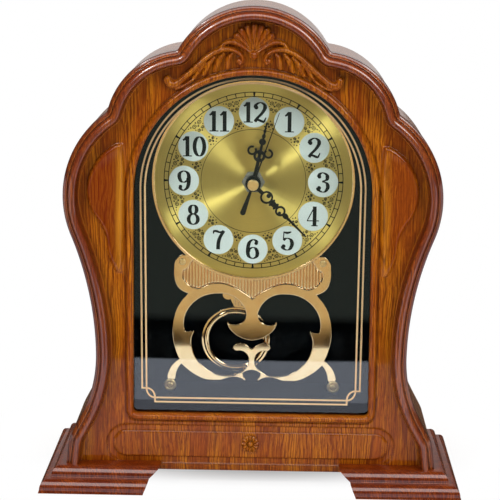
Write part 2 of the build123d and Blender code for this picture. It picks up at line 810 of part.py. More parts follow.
# Fret plate: a ring behind the dial and the scrolled bracket below it.
with BuildPart() as fret_plate:
    with BuildSketch(front_plane(fret_back_y)):
        with BuildLine():
            Polyline(*fret_shoulder)
            arc_run(*fret_outer)
            Polyline(fret_outer[-1], fret_boss, fret_lower[0])
            arc_run(*fret_lower)
            Line(fret_lower[-1], fret_shoulder[0])
        make_face()
        with BuildLine():
            arc_run(*fret_anchor)
            Polyline(*fret_spur)
            arc_run(*fret_bowl)
            Polyline(*fret_fork)
        make_face(mode=Mode.SUBTRACT)
        mirror(about=Plane.YZ)
        with Locations(*boss_spots):
            Circle(fret_boss_radius)
        with Locations(dial_centre):
            Circle(bezel_radius - fret_edge)
            Circle(fret_ring_inner, mode=Mode.SUBTRACT)
        with Locations(*fret_spots):
            Circle(fret_screw_radius + screw_clearance, mode=Mode.SUBTRACT)
    extrude(amount=fret_thickness)
    # A sunk field under the dial carries upright half-round ribs.
    with BuildSketch() as rib_field:
        with BuildLine():
            arc_run(*rib_lower)
            Polyline(*rib_upper)
        make_face()
        mirror(about=Plane.YZ)
    with BuildSketch(front_plane(fret_front_y)):
        add(rib_field.sketch)
    extrude(amount=-rib_recess, mode=Mode.SUBTRACT)
    rib_floor_y = fret_front_y + rib_recess
    with BuildPart(mode=Mode.PRIVATE) as ribs:
        with Locations((0, rib_floor_y, (rib_lower[0][1] + rib_upper[1][1]) / 2)):
            with GridLocations(rib_pitch, 1, rib_count, 1):
                Cylinder(rib_radius, rib_upper[1][1] - rib_lower[0][1])
        with BuildSketch(front_plane(rib_floor_y)):
            add(rib_field.sketch)
        extrude(amount=rib_radius, mode=Mode.INTERSECT)
    add(ribs.part)
fret_plate.part.label = "fret_plate"
export_step(fret_plate.part, "parts/fret_plate.step")

with BuildPart() as fret_posts:
    with BuildSketch(front_plane(tray_inner_y)):
        with Locations(*fret_spots):
            Circle(post_radius)
            Circle(fret_screw_radius + screw_clearance, mode=Mode.SUBTRACT)
    extrude(amount=tray_inner_y - fret_back_y)
fret_posts.part.label = "fret_posts"
export_step(fret_posts.part, "parts/fret_posts.step")

with BuildPart() as fret_screws:
    with BuildSketch(front_plane(tray_back_y)):
        with Locations(*fret_spots):
            Circle(fret_screw_radius)
    extrude(amount=tray_back_y - fret_front_y)
    with BuildSketch(front_plane(fret_front_y)):
        with Locations(*fret_spots):
            Circle(fret_head_radius)
    extrude(amount=fret_head_height)
    fillet(fret_screws.edges().group_by(Axis.Y)[0], fret_head_round)
    with BuildSketch(front_plane(fret_front_y - fret_head_height)):
        with Locations(*fret_spots):
            Rectangle(fret_head_radius, slot_width)
            Rectangle(slot_width, fret_head_radius)
    extrude(amount=-slot_depth, mode=Mode.SUBTRACT)
fret_screws.part.label = "fret_screws"
export_step(fret_screws.part, "parts/fret_screws.step")


# Dial plate, bezel ring and the twelve raised numeral discs.
with BuildPart() as dial_plate:
    with BuildSketch(front_plane(fret_front_y)):
        with Locations(dial_centre):
            Circle(dial_radius)
            Circle(bush_radius + screw_clearance, mode=Mode.SUBTRACT)
    extrude(amount=dial_thickness)
dial_plate.part.label = "dial_plate"
export_step(dial_plate.part, "parts/dial_plate.step")

with BuildPart() as dial_bezel:
    with BuildSketch(front_plane(fret_front_y)):
        with Locations(dial_centre):
            Circle(bezel_radius)
            Circle(dial_radius + press_clearance, mode=Mode.SUBTRACT)
    extrude(amount=dial_thickness)
    with BuildSketch(front_plane(dial_y)):
        with Locations(dial_centre):
            Circle(bezel_radius)
            Circle(bezel_radius - bezel_lip, mode=Mode.SUBTRACT)
    extrude(amount=bezel_height)
    fillet(dial_bezel.edges().group_by(Axis.Y)[0], bezel_round)
dial_bezel.part.label = "dial_bezel"
export_step(dial_bezel.part, "parts/dial_bezel.step")

with BuildPart() as numeral_discs:
    with BuildSketch(front_plane(dial_y)):
        with Locations(dial_centre):
            with PolarLocations(disc_circle, disc_count):
                Circle(disc_radius)
    extrude(amount=disc_thickness)
numeral_discs.part.label = "numeral_discs"
export_step(numeral_discs.part, "parts/numeral_discs.step")

with BuildPart() as centre_nut:
    with BuildSketch(front_plane(dial_y)):
        with Locations(dial_centre):
            RegularPolygon(nut_radius, nut_sides)
            Circle(bush_radius + thread_clearance, mode=Mode.SUBTRACT)
    extrude(amount=nut_height)
centre_nut.part.label = "centre_nut"
export_step(centre_nut.part, "parts/centre_nut.step")


def both_sides(spot):
    return [spot, (-spot[0], spot[1])]


def mirrored_run(points):
    # A closed run of points up the right side and down the left.
    return points + [(-x, z) for x, z in reversed(points)]


def hand_stem(length):
    # The tapered middle of a hand, from its hub to its tip.
    Polygon(*mirrored_run([(stem_half, 0), (stem_tip_half, length)]), align=None)


# Hands: drawn upright along their own length, then turned to the time shown.
with BuildPart() as hour_hand:
    with BuildSketch(turned_plane(hour_hand_y, dial_z, hour_angle)):
        with Locations((0, palmette_rise)):
            Circle(palmette_radius)
        with Locations(*both_sides(scroll_spot)):
            Circle(scroll_radius)
        with Locations(*both_sides(scroll_spot)):
            Circle(scroll_radius - hand_wire, mode=Mode.SUBTRACT)
        with Locations(*both_sides(scroll_gap)):
            Circle(scroll_gap_radius, mode=Mode.SUBTRACT)
        with Locations(*both_sides((palmette_eye[0], palmette_rise))):
            Ellipse(palmette_eye[1], palmette_eye[2], mode=Mode.SUBTRACT)
        Circle(hand_hub_radius)
        hand_stem(hour_length)
        for rise, half, reach in hour_beads:
            with Locations((0, rise)):
                Ellipse(half, reach)
        Circle(hour_tube_radius + press_clearance, mode=Mode.SUBTRACT)
    extrude(amount=hand_thickness)
hour_hand.part.label = "hour_hand"
export_step(hour_hand.part, "parts/hour_hand.step")

with BuildPart() as minute_hand:
    with BuildSketch(turned_plane(minute_hand_y, dial_z, minute_angle)):
        hand_stem(minute_length)
        for rise, half, reach in minute_beads:
            with Locations((0, rise)):
                Ellipse(half, reach)
        for rise, radius in minute_rings:
            with Locations((0, rise)):
                Circle(radius)
                Circle(radius - hand_wire, mode=Mode.SUBTRACT)
        for across, rise, radius in minute_balls:
            with Locations((across, rise)):
                Circle(radius)
        Circle(hand_hub_radius)
        Circle(minute_tube_radius + press_clearance, mode=Mode.SUBTRACT)
    extrude(amount=hand_thickness)
minute_hand.part.label = "minute_hand"
export_step(minute_hand.part, "parts/minute_hand.step")

with BuildPart() as second_hand:
    with BuildSketch(turned_plane(second_hand_y, dial_z, second_angle)):
        Circle(cap_radius)
        needle = [(second_half, 0), (second_tip_half, second_length)]
        Polygon(*mirrored_run(needle), align=None)
        club = second_tail - club_radius
        Polygon(*mirrored_run([(club_radius, -club), (second_half, 0)]), align=None)
        with Locations((0, -club)):
            Circle(club_radius)
        Circle(second_arbor_radius + press_clearance, mode=Mode.SUBTRACT)
    extrude(amount=hand_thickness)
second_hand.part.label = "second_hand"
export_step(second_hand.part, "parts/second_hand.step")

with BuildPart() as hand_cap:
    with BuildSketch(front_plane(second_hand_y - hand_thickness)):
        with Locations(dial_centre):
            Circle(cap_radius)
    extrude(amount=cap_height)
    fillet(hand_cap.edges().group_by(Axis.Y)[0], cap_height / 3)
hand_cap.part.label = "hand_cap"
export_step(hand_cap.part, "parts/hand_cap.step")


# Movement case: it carries the centre bush, a stud for the motion wheel and the pendulum lug.
with BuildPart() as movement_case:
    with BuildSketch(front_plane(movement_split_y)):
        with Locations(dial_centre):
            Rectangle(movement_size, movement_size)
    extrude(amount=movement_split_y - movement_front_y)
    with BuildSketch(front_plane(movement_split_y)):
        with Locations((0, movement_bottom - lug_drop / 2 + movement_wall / 2)):
            Rectangle(lug_width, lug_drop + movement_wall)
    extrude(amount=lug_thickness)
    with BuildSketch(front_plane(movement_split_y)):
        with Locations(dial_centre):
            Rectangle(movement_size - 2 * movement_wall, movement_size - 2 * movement_wall)
    extrude(amount=movement_split_y - movement_inner_y, mode=Mode.SUBTRACT)
    with BuildSketch(front_plane(movement_front_y)):
        with Locations(dial_centre):
            Circle(bush_radius)
    extrude(amount=bush_length)
    with BuildSketch(front_plane(movement_inner_y)):
        with Locations(dial_centre):
            Circle(hour_tube_radius + running_clearance)
    extrude(amount=movement_wall + bush_length, mode=Mode.SUBTRACT)
    with BuildSketch(front_plane(motion_layer + layer_gap / 2)):
        with Locations(motion_axis):
            Circle(motion_stud_radius)
    extrude(amount=motion_layer + layer_gap / 2 - movement_inner_y)
    with BuildSketch(front_plane(movement_split_y)):
        with Locations((0, pivot_z)):
            Circle(pivot_pin_radius + press_clearance)
    extrude(amount=lug_thickness, mode=Mode.SUBTRACT)
movement_case.part.label = "movement_case"
export_step(movement_case.part, "parts/movement_case.step")

trough_half = movement_half - movement_wall - fit
trough_top = battery_z + trough_half_height
trough_front_y = battery_y - battery_radius - fit - trough_wall
with BuildPart() as movement_cover:
    with BuildSketch(front_plane(movement_back_y)):
        with Locations(dial_centre):
            Rectangle(movement_size, movement_size)
    extrude(amount=movement_back_y - movement_split_y)
    with BuildSketch(front_plane(movement_back_y - movement_wall)):
        with Locations(dial_centre):
            Rectangle(movement_size - 2 * movement_wall, movement_size - 2 * movement_wall)
    extrude(amount=movement_back_y - movement_wall - movement_split_y, mode=Mode.SUBTRACT)
    # The battery trough opens to the back.
    with BuildSketch(front_plane(movement_back_y)):
        with Locations((0, battery_z)):
            Rectangle(2 * trough_half, 2 * trough_half_height)
    extrude(amount=movement_wall, mode=Mode.SUBTRACT)
    with BuildSketch(front_plane(movement_back_y - movement_wall / 2)):
        with Locations((0, trough_top + trough_wall / 2)):
            Rectangle(2 * trough_half, trough_wall)
    extrude(amount=movement_back_y - movement_wall / 2 - trough_front_y)
    trough_bottom = movement_bottom + movement_wall + fit
    with BuildSketch(front_plane(trough_front_y + trough_wall)):
        with Locations((0, (trough_bottom + trough_top + trough_wall) / 2)):
            Rectangle(2 * trough_half, trough_top + trough_wall - trough_bottom)
    extrude(amount=trough_wall)
    with BuildSketch(front_plane(movement_back_y)):
        with Locations(setting_axis):
            Circle(setting_arbor_radius + running_clearance)
    extrude(amount=movement_wall, mode=Mode.SUBTRACT)
movement_cover.part.label = "movement_cover"
export_step(movement_cover.part, "parts/movement_cover.step")

bridge_front_y = bridge_y - bridge_thickness
bridge_bottom = trough_top + trough_wall + fit
bridge_top = dial_z + movement_half - movement_wall - fit
with BuildPart() as train_bridge:
    with BuildSketch(front_plane(bridge_y)):
        with Locations((0, (bridge_bottom + bridge_top) / 2)):
            Rectangle(2 * trough_half, bridge_top - bridge_bottom)
        with Locations(dial_centre):
            Circle(second_arbor_radius + running_clearance, mode=Mode.SUBTRACT)
        with Locations(setting_axis):
            Circle(setting_arbor_radius + running_clearance, mode=Mode.SUBTRACT)
    extrude(amount=bridge_thickness)
    studs = [
        (third_axis, minute_layer - gear_thickness),
        (inter_axis, second_layer - gear_thickness),
        (rotor_axis, inter_layer - gear_thickness),
    ]
    for stud_axis, stud_end in studs:
        with BuildSketch(front_plane(bridge_front_y)):
            with Locations(stud_axis):
                Circle(stud_radius)
        extrude(amount=bridge_front_y - stud_end)
    collars = [(third_axis, third_layer), (inter_axis, inter_layer)]
    for collar_axis, collar_end in collars:
        with BuildSketch(front_plane(bridge_front_y)):
            with Locations(collar_axis):
                Circle(2 * stud_radius)
        extrude(amount=bridge_front_y - collar_end - layer_gap / 2)
train_bridge.part.label = "train_bridge"
export_step(train_bridge.part, "parts/train_bridge.step")


# Motion work: cannon pinion, motion wheel, hour wheel and setting knob.
with BuildPart() as hour_wheel:
    with BuildSketch(front_plane(hour_layer)):
        with Locations(dial_centre):
            add(gear_face(hour_teeth, hour_module, 0, motion_direction))
    extrude(amount=gear_thickness)
    with BuildSketch(front_plane(hour_layer)):
        with Locations(dial_centre):
            Circle(hour_tube_radius)
    extrude(amount=hour_layer - hour_hand_y + 2 * hand_thickness)
    with BuildSketch(front_plane(hour_layer)):
        with Locations(dial_centre):
            Circle(minute_tube_radius + running_clearance)
    extrude(amount=hour_layer - second_hand_y, mode=Mode.SUBTRACT)
hour_wheel.part.label = "hour_wheel"
export_step(hour_wheel.part, "parts/hour_wheel.step")

with BuildPart() as cannon_pinion:
    with BuildSketch(front_plane(motion_layer)):
        with Locations(dial_centre):
            add(gear_face(cannon_teeth, motion_module, 0, motion_direction))
    extrude(amount=gear_thickness)
    with BuildSketch(front_plane(minute_layer)):
        with Locations(dial_centre):
            Circle(minute_tube_radius)
    extrude(amount=minute_layer - minute_hand_y + 2 * hand_thickness)
    with BuildSketch(front_plane(minute_layer)):
        with Locations(dial_centre):
            Circle(second_arbor_radius + running_clearance)
    extrude(amount=minute_layer - second_hand_y, mode=Mode.SUBTRACT)
cannon_pinion.part.label = "cannon_pinion"
export_step(cannon_pinion.part, "parts/cannon_pinion.step")

with BuildPart() as motion_wheel:
    with BuildSketch(front_plane(motion_layer)):
        with Locations(motion_axis):
            add(gear_face(motion_teeth, motion_module, 0, gap_phase(motion_teeth, motion_direction + 180)))
    extrude(amount=gear_thickness)
    with BuildSketch(front_plane(hour_layer)):
        with Locations(motion_axis):
            phase = gap_phase(motion_pinion_teeth, motion_direction + 180)
            add(gear_face(motion_pinion_teeth, hour_module, 0, phase))
    extrude(amount=gear_thickness)
    with BuildSketch(front_plane(motion_layer)):
        with Locations(motion_axis):
            Circle(2 * motion_stud_radius)
    extrude(amount=motion_layer - hour_layer)
    with BuildSketch(front_plane(motion_layer)):
        with Locations(motion_axis):
            Circle(motion_stud_radius + running_clearance)
    extrude(amount=motion_layer - movement_front_y, mode=Mode.SUBTRACT)
motion_wheel.part.label = "motion_wheel"
export_step(motion_wheel.part, "parts/motion_wheel.step")

with BuildPart() as setting_knob:
    turned_teeth = gap_phase(motion_teeth, motion_direction + 180) - motion_direction
    setting_phase = motion_direction + 180 + 180 / setting_teeth
    setting_phase = setting_phase - turned_teeth * motion_teeth / setting_teeth
    with BuildSketch(front_plane(motion_layer)):
        with Locations(setting_axis):
            add(gear_face(setting_teeth, motion_module, 0, setting_phase))
    extrude(amount=gear_thickness)
    knob_front_y = movement_back_y + knob_gap
    with BuildSketch(front_plane(knob_front_y)):
        with Locations(setting_axis):
            Circle(setting_arbor_radius)
    extrude(amount=knob_front_y - motion_layer)
    with BuildSketch(front_plane(knob_front_y + knob_height)):
        with Locations(setting_axis):
            Circle(knob_radius)
            with PolarLocations(knob_radius, disc_count):
                Circle(knob_radius / 10, mode=Mode.SUBTRACT)
    extrude(amount=knob_height)
setting_knob.part.label = "setting_knob"
export_step(setting_knob.part, "parts/setting_knob.step")


# Going train: rotor, intermediate wheel, second wheel, third wheel and minute wheel.
with BuildPart() as second_wheel:
    with BuildSketch(front_plane(second_layer)):
        with Locations(dial_centre):
            add(gear_face(second_teeth, second_module, 0, inter_direction))
    extrude(amount=gear_thickness)
    with BuildSketch(front_plane(third_layer)):
        with Locations(dial_centre):
            add(gear_face(second_pinion_teeth, third_module, 0, third_direction))
    extrude(amount=gear_thickness)
    with BuildSketch(front_plane(bridge_y)):
        with Locations(dial_centre):
            Circle(second_arbor_radius)
    extrude(amount=bridge_y - second_hand_y + hand_thickness)
second_wheel.part.label = "second_wheel"
export_step(second_wheel.part, "parts/second_wheel.step")

with BuildPart() as third_wheel:
    with BuildSketch(front_plane(third_layer)):
        with Locations(third_axis):
            add(gear_face(third_teeth, third_module, 0, gap_phase(third_teeth, third_direction + 180)))
    extrude(amount=gear_thickness)
    with BuildSketch(front_plane(third_layer)):
        with Locations(third_axis):
            Circle(2 * stud_radius)
    extrude(amount=third_layer - minute_layer)
    with BuildSketch(front_plane(minute_layer)):
        with Locations(third_axis):
            add(gear_face(third_pinion_teeth, minute_module, 0, third_direction + 180))
    extrude(amount=gear_thickness)
    with BuildSketch(front_plane(third_layer)):
        with Locations(third_axis):
            Circle(stud_radius + running_clearance)
    extrude(amount=third_layer - minute_layer + gear_thickness, mode=Mode.SUBTRACT)
third_wheel.part.label = "third_wheel"
export_step(third_wheel.part, "parts/third_wheel.step")

with BuildPart() as minute_wheel:
    with BuildSketch(front_plane(minute_layer)):
        with Locations(dial_centre):
            phase = gap_phase(minute_wheel_teeth, third_direction)
            add(gear_face(minute_wheel_teeth, minute_module, minute_tube_radius + running_clearance, phase))
    extrude(amount=gear_thickness)
minute_wheel.part.label = "minute_wheel"
export_step(minute_wheel.part, "parts/minute_wheel.step")

with BuildPart() as intermediate_wheel:
    with BuildSketch(front_plane(inter_layer)):
        with Locations(inter_axis):
            add(gear_face(inter_teeth, rotor_module, 0, rotor_direction))
    extrude(amount=gear_thickness)
    with BuildSketch(front_plane(inter_layer)):
        with Locations(inter_axis):
            Circle(2 * stud_radius)
    extrude(amount=inter_layer - second_layer)
    with BuildSketch(front_plane(second_layer)):
        with Locations(inter_axis):
            phase = gap_phase(inter_pinion_teeth, inter_direction + 180)
            add(gear_face(inter_pinion_teeth, second_module, 0, phase))
    extrude(amount=gear_thickness)
    with BuildSketch(front_plane(inter_layer)):
        with Locations(inter_axis):
            Circle(stud_radius + running_clearance)
    extrude(amount=inter_layer - second_layer + gear_thickness, mode=Mode.SUBTRACT)
intermediate_wheel.part.label = "intermediate_wheel"
export_step(intermediate_wheel.part, "parts/intermediate_wheel.step")

with BuildPart() as motor_rotor:
    with BuildSketch(front_plane(inter_layer)):
        with Locations(rotor_axis):
            add(gear_face(rotor_teeth, rotor_module, 0, gap_phase(rotor_teeth, rotor_direction + 180)))
    extrude(amount=gear_thickness)
    magnet_back_y = inter_layer + layer_gap + magnet_height
    with BuildSketch(front_plane(magnet_back_y)):
        with Locations(rotor_axis):
            Circle(2 * stud_radius)
    extrude(amount=magnet_height + layer_gap)
    with BuildSketch(front_plane(magnet_back_y)):
        with Locations(rotor_axis):
            Circle(magnet_radius)
    extrude(amount=magnet_height)
    with BuildSketch(front_plane(magnet_back_y)):
        with Locations(rotor_axis):
            Circle(stud_radius + running_clearance)
    extrude(amount=magnet_height + layer_gap + gear_thickness, mode=Mode.SUBTRACT)
motor_rotor.part.label = "motor_rotor"
export_step(motor_rotor.part, "parts/motor_rotor.step")


# Electrical parts: stepping motor, circuit board, pendulum coil, battery and contacts.
coil_z = dial_z + coil_rise
with BuildPart() as motor_coil:
    with BuildSketch(Plane.YZ.offset(-coil_length / 2)):
        with Locations((coil_y, coil_z)):
            Circle(coil_radius)
            Circle(core_radius + running_clearance, mode=Mode.SUBTRACT)
    extrude(amount=coil_length)
motor_coil.part.label = "motor_coil"
export_step(motor_coil.part, "parts/motor_coil.step")

with BuildPart() as stator:
    with BuildSketch(front_plane(stator_y)):
        with Locations((0, coil_z)):
            Rectangle(2 * stator_half, stator_bar)
        with Locations(rotor_axis):
            Circle(stator_eye)
            Circle(stator_hole, mode=Mode.SUBTRACT)
    extrude(amount=stator_thickness)
    leg = stator_half - coil_length / 2 - fit
    with BuildSketch(front_plane(stator_y - stator_thickness / 2)):
        with Locations((stator_half - leg / 2, coil_z), (-stator_half + leg / 2, coil_z)):
            Rectangle(leg, 3 * core_radius)
    extrude(amount=stator_y - stator_thickness / 2 - coil_y + core_radius)
    with BuildSketch(Plane.YZ.offset(-stator_half)):
        with Locations((coil_y, coil_z)):
            Circle(core_radius)
    extrude(amount=2 * stator_half)
stator.part.label = "stator"
export_step(stator.part, "parts/stator.step")

with BuildPart() as circuit_board:
    with BuildSketch(front_plane(bridge_y + board_thickness)):
        with Locations((board_x, dial_z + board_rise)):
            Rectangle(board_width, board_height)
    extrude(amount=board_thickness)
    with BuildSketch(front_plane(bridge_y + board_thickness)):
        with Locations((board_x, dial_z + board_rise)):
            Circle(board_height / 4)
    extrude(amount=-board_thickness)
circuit_board.part.label = "circuit_board"
export_step(circuit_board.part, "parts/circuit_board.step")

with BuildPart() as pendulum_coil:
    with BuildSketch(front_plane(movement_inner_y + drive_coil_height)):
        with Locations((0, drive_coil_z)):
            Circle(drive_coil_radius)
            Circle(core_radius, mode=Mode.SUBTRACT)
    extrude(amount=drive_coil_height)
pendulum_coil.part.label = "pendulum_coil"
export_step(pendulum_coil.part, "parts/pendulum_coil.step")

battery_start = -(battery_length + battery_nub_length) / 2
with BuildPart() as battery:
    with BuildSketch(Plane.YZ.offset(battery_start)):
        with Locations((battery_y, battery_z)):
            Circle(battery_radius)
    extrude(amount=battery_length)
    with BuildSketch(Plane.YZ.offset(battery_start + battery_length)):
        with Locations((battery_y, battery_z)):
            Circle(battery_nub_radius)
    extrude(amount=battery_nub_length)
battery.part.label = "battery"
export_step(battery.part, "parts/battery.step")

contact_x = -battery_start + thread_clearance
with BuildPart() as battery_contacts:
    with BuildSketch(Plane.YZ.offset(contact_x)):
        with Locations((battery_y, battery_z)):
            Rectangle(contact_size, contact_size)
    extrude(amount=contact_thickness)
    with BuildSketch(Plane.YZ.offset(-contact_x)):
        with Locations((battery_y, battery_z)):
            Rectangle(contact_size, contact_size)
    extrude(amount=-contact_thickness)
battery_contacts.part.label = "battery_contacts"
export_step(battery_contacts.part, "parts/battery_contacts.step")


# Pendulum: hanger on its pin, rod, scrolled crest and ring bob.
hanger_front_y = pendulum_y - hanger_thickness / 2
rod_front_y = hanger_front_y - rod_thickness
bob_top = -pendulum_length + bob_radius
with BuildPart() as pendulum_pin:
    with BuildSketch(front_plane(movement_split_y)):
        with Locations((0, pivot_z)):
            Circle(pivot_pin_radius)
    extrude(amount=movement_split_y - hanger_front_y + rod_thickness / 2)
pendulum_pin.part.label = "pendulum_pin"
export_step(pendulum_pin.part, "parts/pendulum_pin.step")

with BuildPart() as pendulum_hanger:
    with BuildSketch(turned_plane(hanger_front_y + hanger_thickness, pivot_z, pendulum_rest)):
        with Locations((0, (hanger_top - hanger_length) / 2)):
            RectangleRounded(hanger_width, hanger_top + hanger_length, hanger_width / 3)
        Circle(pivot_pin_radius + running_clearance, mode=Mode.SUBTRACT)
    extrude(amount=hanger_thickness)
pendulum_hanger.part.label = "pendulum_hanger"
export_step(pendulum_hanger.part, "parts/pendulum_hanger.step")

with BuildPart() as pendulum_rod:
    rod_end = bob_top + thread_clearance
    with BuildSketch(turned_plane(hanger_front_y, pivot_z, pendulum_rest)):
        with Locations((0, (rod_end - rod_start) / 2)):
            Rectangle(rod_width, -rod_end - rod_start)
    extrude(amount=rod_thickness)
pendulum_rod.part.label = "pendulum_rod"
export_step(pendulum_rod.part, "parts/pendulum_rod.step")

bob_mid_y = (hanger_front_y + rod_front_y) / 2
bob_tube = bob_radius - bob_band + bob_depth / 2
with BuildPart() as pendulum_bob:
    with BuildSketch(turned_plane(bob_mid_y + bob_fin / 2, pivot_z, pendulum_rest)):
        with Locations((0, -pendulum_length)):
            Circle(bob_radius)
            Circle(bob_tube, mode=Mode.SUBTRACT)
    extrude(amount=bob_fin)
    bob_plane = turned_plane(bob_mid_y, pivot_z, pendulum_rest)
    with Locations(bob_plane.location * Location((0, -pendulum_length, 0))):
        Torus(bob_tube, bob_depth / 2)
pendulum_bob.part.label = "pendulum_bob"
export_step(pendulum_bob.part, "parts/pendulum_bob.step")

curl = crest_height * crest_curl
neck = (crest_half * crest_neck, bob_top)
flank = (crest_half * crest_flank, bob_top + crest_height / 2)
curl_spot = (crest_half - curl, bob_top + crest_height - curl)
crest_plane = turned_plane(rod_front_y, pivot_z, pendulum_rest)
with BuildPart() as pendulum_crest:
    with BuildSketch(crest_plane):
        with BuildLine():
            ThreePointArc(neck, flank, curl_spot)
            Polyline(curl_spot, (0, bob_top + crest_height), (0, bob_top), neck)
        make_face()
        mirror(about=Plane.YZ)
        with Locations(*both_sides(curl_spot)):
            Circle(curl)
    extrude(amount=crest_thickness)
    rib_height = crest_height - 2 * crest_thickness
    rib_spot = Location((0, bob_top + crest_height / 2, crest_thickness), (90, 0, 0))
    with Locations(crest_plane.location * rib_spot):
        with GridLocations(crest_rib_pitch, 1, crest_rib_count, 1):
            Cylinder(crest_rib_radius, rib_height)
pendulum_crest.part.label = "pendulum_crest"
export_step(pendulum_crest.part, "parts/pendulum_crest.step")
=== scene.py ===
import bmesh
import bpy
import numpy as np
from mathutils import Matrix, Vector
from mathutils.geometry import delaunay_2d_cdt


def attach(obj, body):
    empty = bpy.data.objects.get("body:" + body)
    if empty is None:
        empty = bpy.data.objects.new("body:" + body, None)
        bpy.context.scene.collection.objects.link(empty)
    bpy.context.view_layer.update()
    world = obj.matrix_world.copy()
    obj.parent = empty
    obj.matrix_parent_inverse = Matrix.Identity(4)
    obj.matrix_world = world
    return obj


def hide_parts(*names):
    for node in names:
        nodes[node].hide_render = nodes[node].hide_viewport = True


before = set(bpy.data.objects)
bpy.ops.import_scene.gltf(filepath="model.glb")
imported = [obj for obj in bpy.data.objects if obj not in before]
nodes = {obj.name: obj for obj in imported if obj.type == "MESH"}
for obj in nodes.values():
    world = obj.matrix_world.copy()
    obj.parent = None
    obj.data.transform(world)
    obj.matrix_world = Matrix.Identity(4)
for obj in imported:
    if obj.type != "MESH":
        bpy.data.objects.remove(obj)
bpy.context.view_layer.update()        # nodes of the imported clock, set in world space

scene = bpy.context.scene
mm = 0.001
tau = 2 * np.pi
flip = np.array([-1, 1])       # mirrors x and keeps z
weldGap = 1e-6                 # points that are closer, in metres, are one point
sharpAngle = np.radians(40)    # edges that turn by more stay sharp


def linear(hexCode):
    # sRGB hex to linear colour with full alpha
    raw = np.array([int(hexCode[i:i + 2], 16) for i in (1, 3, 5)]) / 255
    flat = np.where(raw <= 0.04045, raw / 12.92, ((raw + 0.055) / 1.055) ** 2.4)
    return (*flat.tolist(), 1.0)


def addNode(tree, kind, *values, at=None, out=0, **settings):
    # one node: settings are its properties, values go to its sockets in order and those of at by name or number,
    # as a link where the value is an earlier output; returns one of its outputs
    node = tree.nodes.new("ShaderNode" + kind)
    for key, value in settings.items():
        setattr(node, key, value)
    for key, value in [*enumerate(values), *(at or {}).items()]:
        if isinstance(value, bpy.types.NodeSocket):
            tree.links.new(value, node.inputs[key])
        else:
            node.inputs[key].default_value = value
    return node.outputs[out]


def newMaterial(name, sockets):
    # a material with one Principled shader, its sockets set by name
    made = bpy.data.materials.new(name)
    made.use_nodes = True
    tree = made.node_tree
    shader = tree.nodes["Principled BSDF"]
    for key, value in sockets.items():
        shader.inputs[key].default_value = value
    return made, tree, shader


def smoothStep(low, high, value):
    # 0 below low, 1 above high and an S-curve between
    t = np.clip((value - low) / (high - low), 0, 1)
    return t * t * (3 - 2 * t)


def bell(gap, reach):
    # 1 where the gap is 0, fading on both sides
    return np.exp(-(gap / reach) ** 2)


def dome(t):
    # height of a half circle of radius 1 at t from its middle, 0 beyond
    return np.sqrt(np.clip(1 - t**2, 0, 1))


def unit(vectors):
    # each row at length 1
    return vectors / np.maximum(np.linalg.norm(vectors, axis=1), 1e-9)[:, None]


def lengthsAlong(line):
    # length from the start of a line to each of its points
    return np.r_[0, np.cumsum(np.linalg.norm(np.diff(line, axis=0), axis=1))]


def throughPoints(points, perSpan=10):
    # a smooth curve through the points: each span is a cubic whose slope at a point is half the step between that
    # point's neighbours
    p = np.asarray(points, float)
    p = np.vstack([2 * p[0] - p[1], p, 2 * p[-1] - p[-2]])
    t = np.linspace(0, 1, perSpan, endpoint=False)[:, None]
    a, b, c, d = p[:-3], p[1:-2], p[2:-1], p[3:]
    spans = 0.5 * (2 * b[:, None] + (c - a)[:, None] * t + (2 * a - 5 * b + 4 * c - d)[:, None] * t**2
                   + (3 * b - a - 3 * c + d)[:, None] * t**3)
    return np.vstack([spans.reshape(-1, p.shape[1]), p[-2]])


def arc(halfX, halfZ, centre, angles):
    # points of an ellipse in x and z at the angles
    return np.stack([centre[0] + halfX * np.cos(angles), centre[1] + halfZ * np.sin(angles)], -1)


def mitred(path, closed, least):
    # normals to the left of a path in x and z, lengthened at its corners so that a line offset by them stays parallel
    if closed:
        ahead = np.roll(path, -1, axis=0) - path
        behind = np.roll(ahead, 1, axis=0)
    else:
        step = np.diff(path, axis=0)
        ahead, behind = np.vstack([step, step[-1]]), np.vstack([step[0], step])
    ahead = unit(ahead)
    mid = unit(ahead + unit(behind))
    stretch = 1 / np.maximum((mid * ahead).sum(1), least)
    return np.stack([-mid[:, 1], mid[:, 0]], -1) * stretch[:, None]


def atDepth(flat, y):
    # points in x and z, set at one depth or at one for each
    return np.stack([flat[..., 0], np.broadcast_to(y, flat.shape[:-1]), flat[..., 1]], -1)


def turned(r, y, centre, rays):
    # a section of radius and depth carried round a front-to-back axis; the depth may change from ray to ray
    a = np.linspace(0, tau, rays, endpoint=False)
    return atDepth(arc(r[:, None], r[:, None], centre, a), np.reshape(y, (len(r), -1)))


def backed(front, y):
    # closes a grid of front points with two back points at the ends of each row
    back = front[:, [-1, 0]].copy()
    back[..., 1] = y
    return np.concatenate([front, back], axis=1)


def gridFaces(rows, columns, wrapRows=False, wrapColumns=False):
    # four corners of every cell of a rows by columns grid, wrapped round where asked
    r = np.arange(rows if wrapRows else rows - 1)
    c = np.arange(columns if wrapColumns else columns - 1)
    r, c = np.meshgrid(r, c, indexing="ij")
    rNext, cNext = (r + 1) % rows, (c + 1) % columns
    cells = np.stack([r * columns + c, r * columns + cNext, rNext * columns + cNext, rNext * columns + c], -1)
    return cells.reshape(-1, 4)


def cappedFaces(rows, columns):
    # cells of a tube made of rows of points, with one face over its first row and one over its last
    ends = [list(range(columns)), list(range((rows - 1) * columns, rows * columns))]
    return gridFaces(rows, columns, wrapColumns=True).tolist() + ends


def settle(piece, body, replaced):
    # puts a piece into the scene on its body and hides the nodes that it stands for
    scene.collection.objects.link(piece)
    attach(piece, body)
    for node in replaced:
        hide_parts(node)


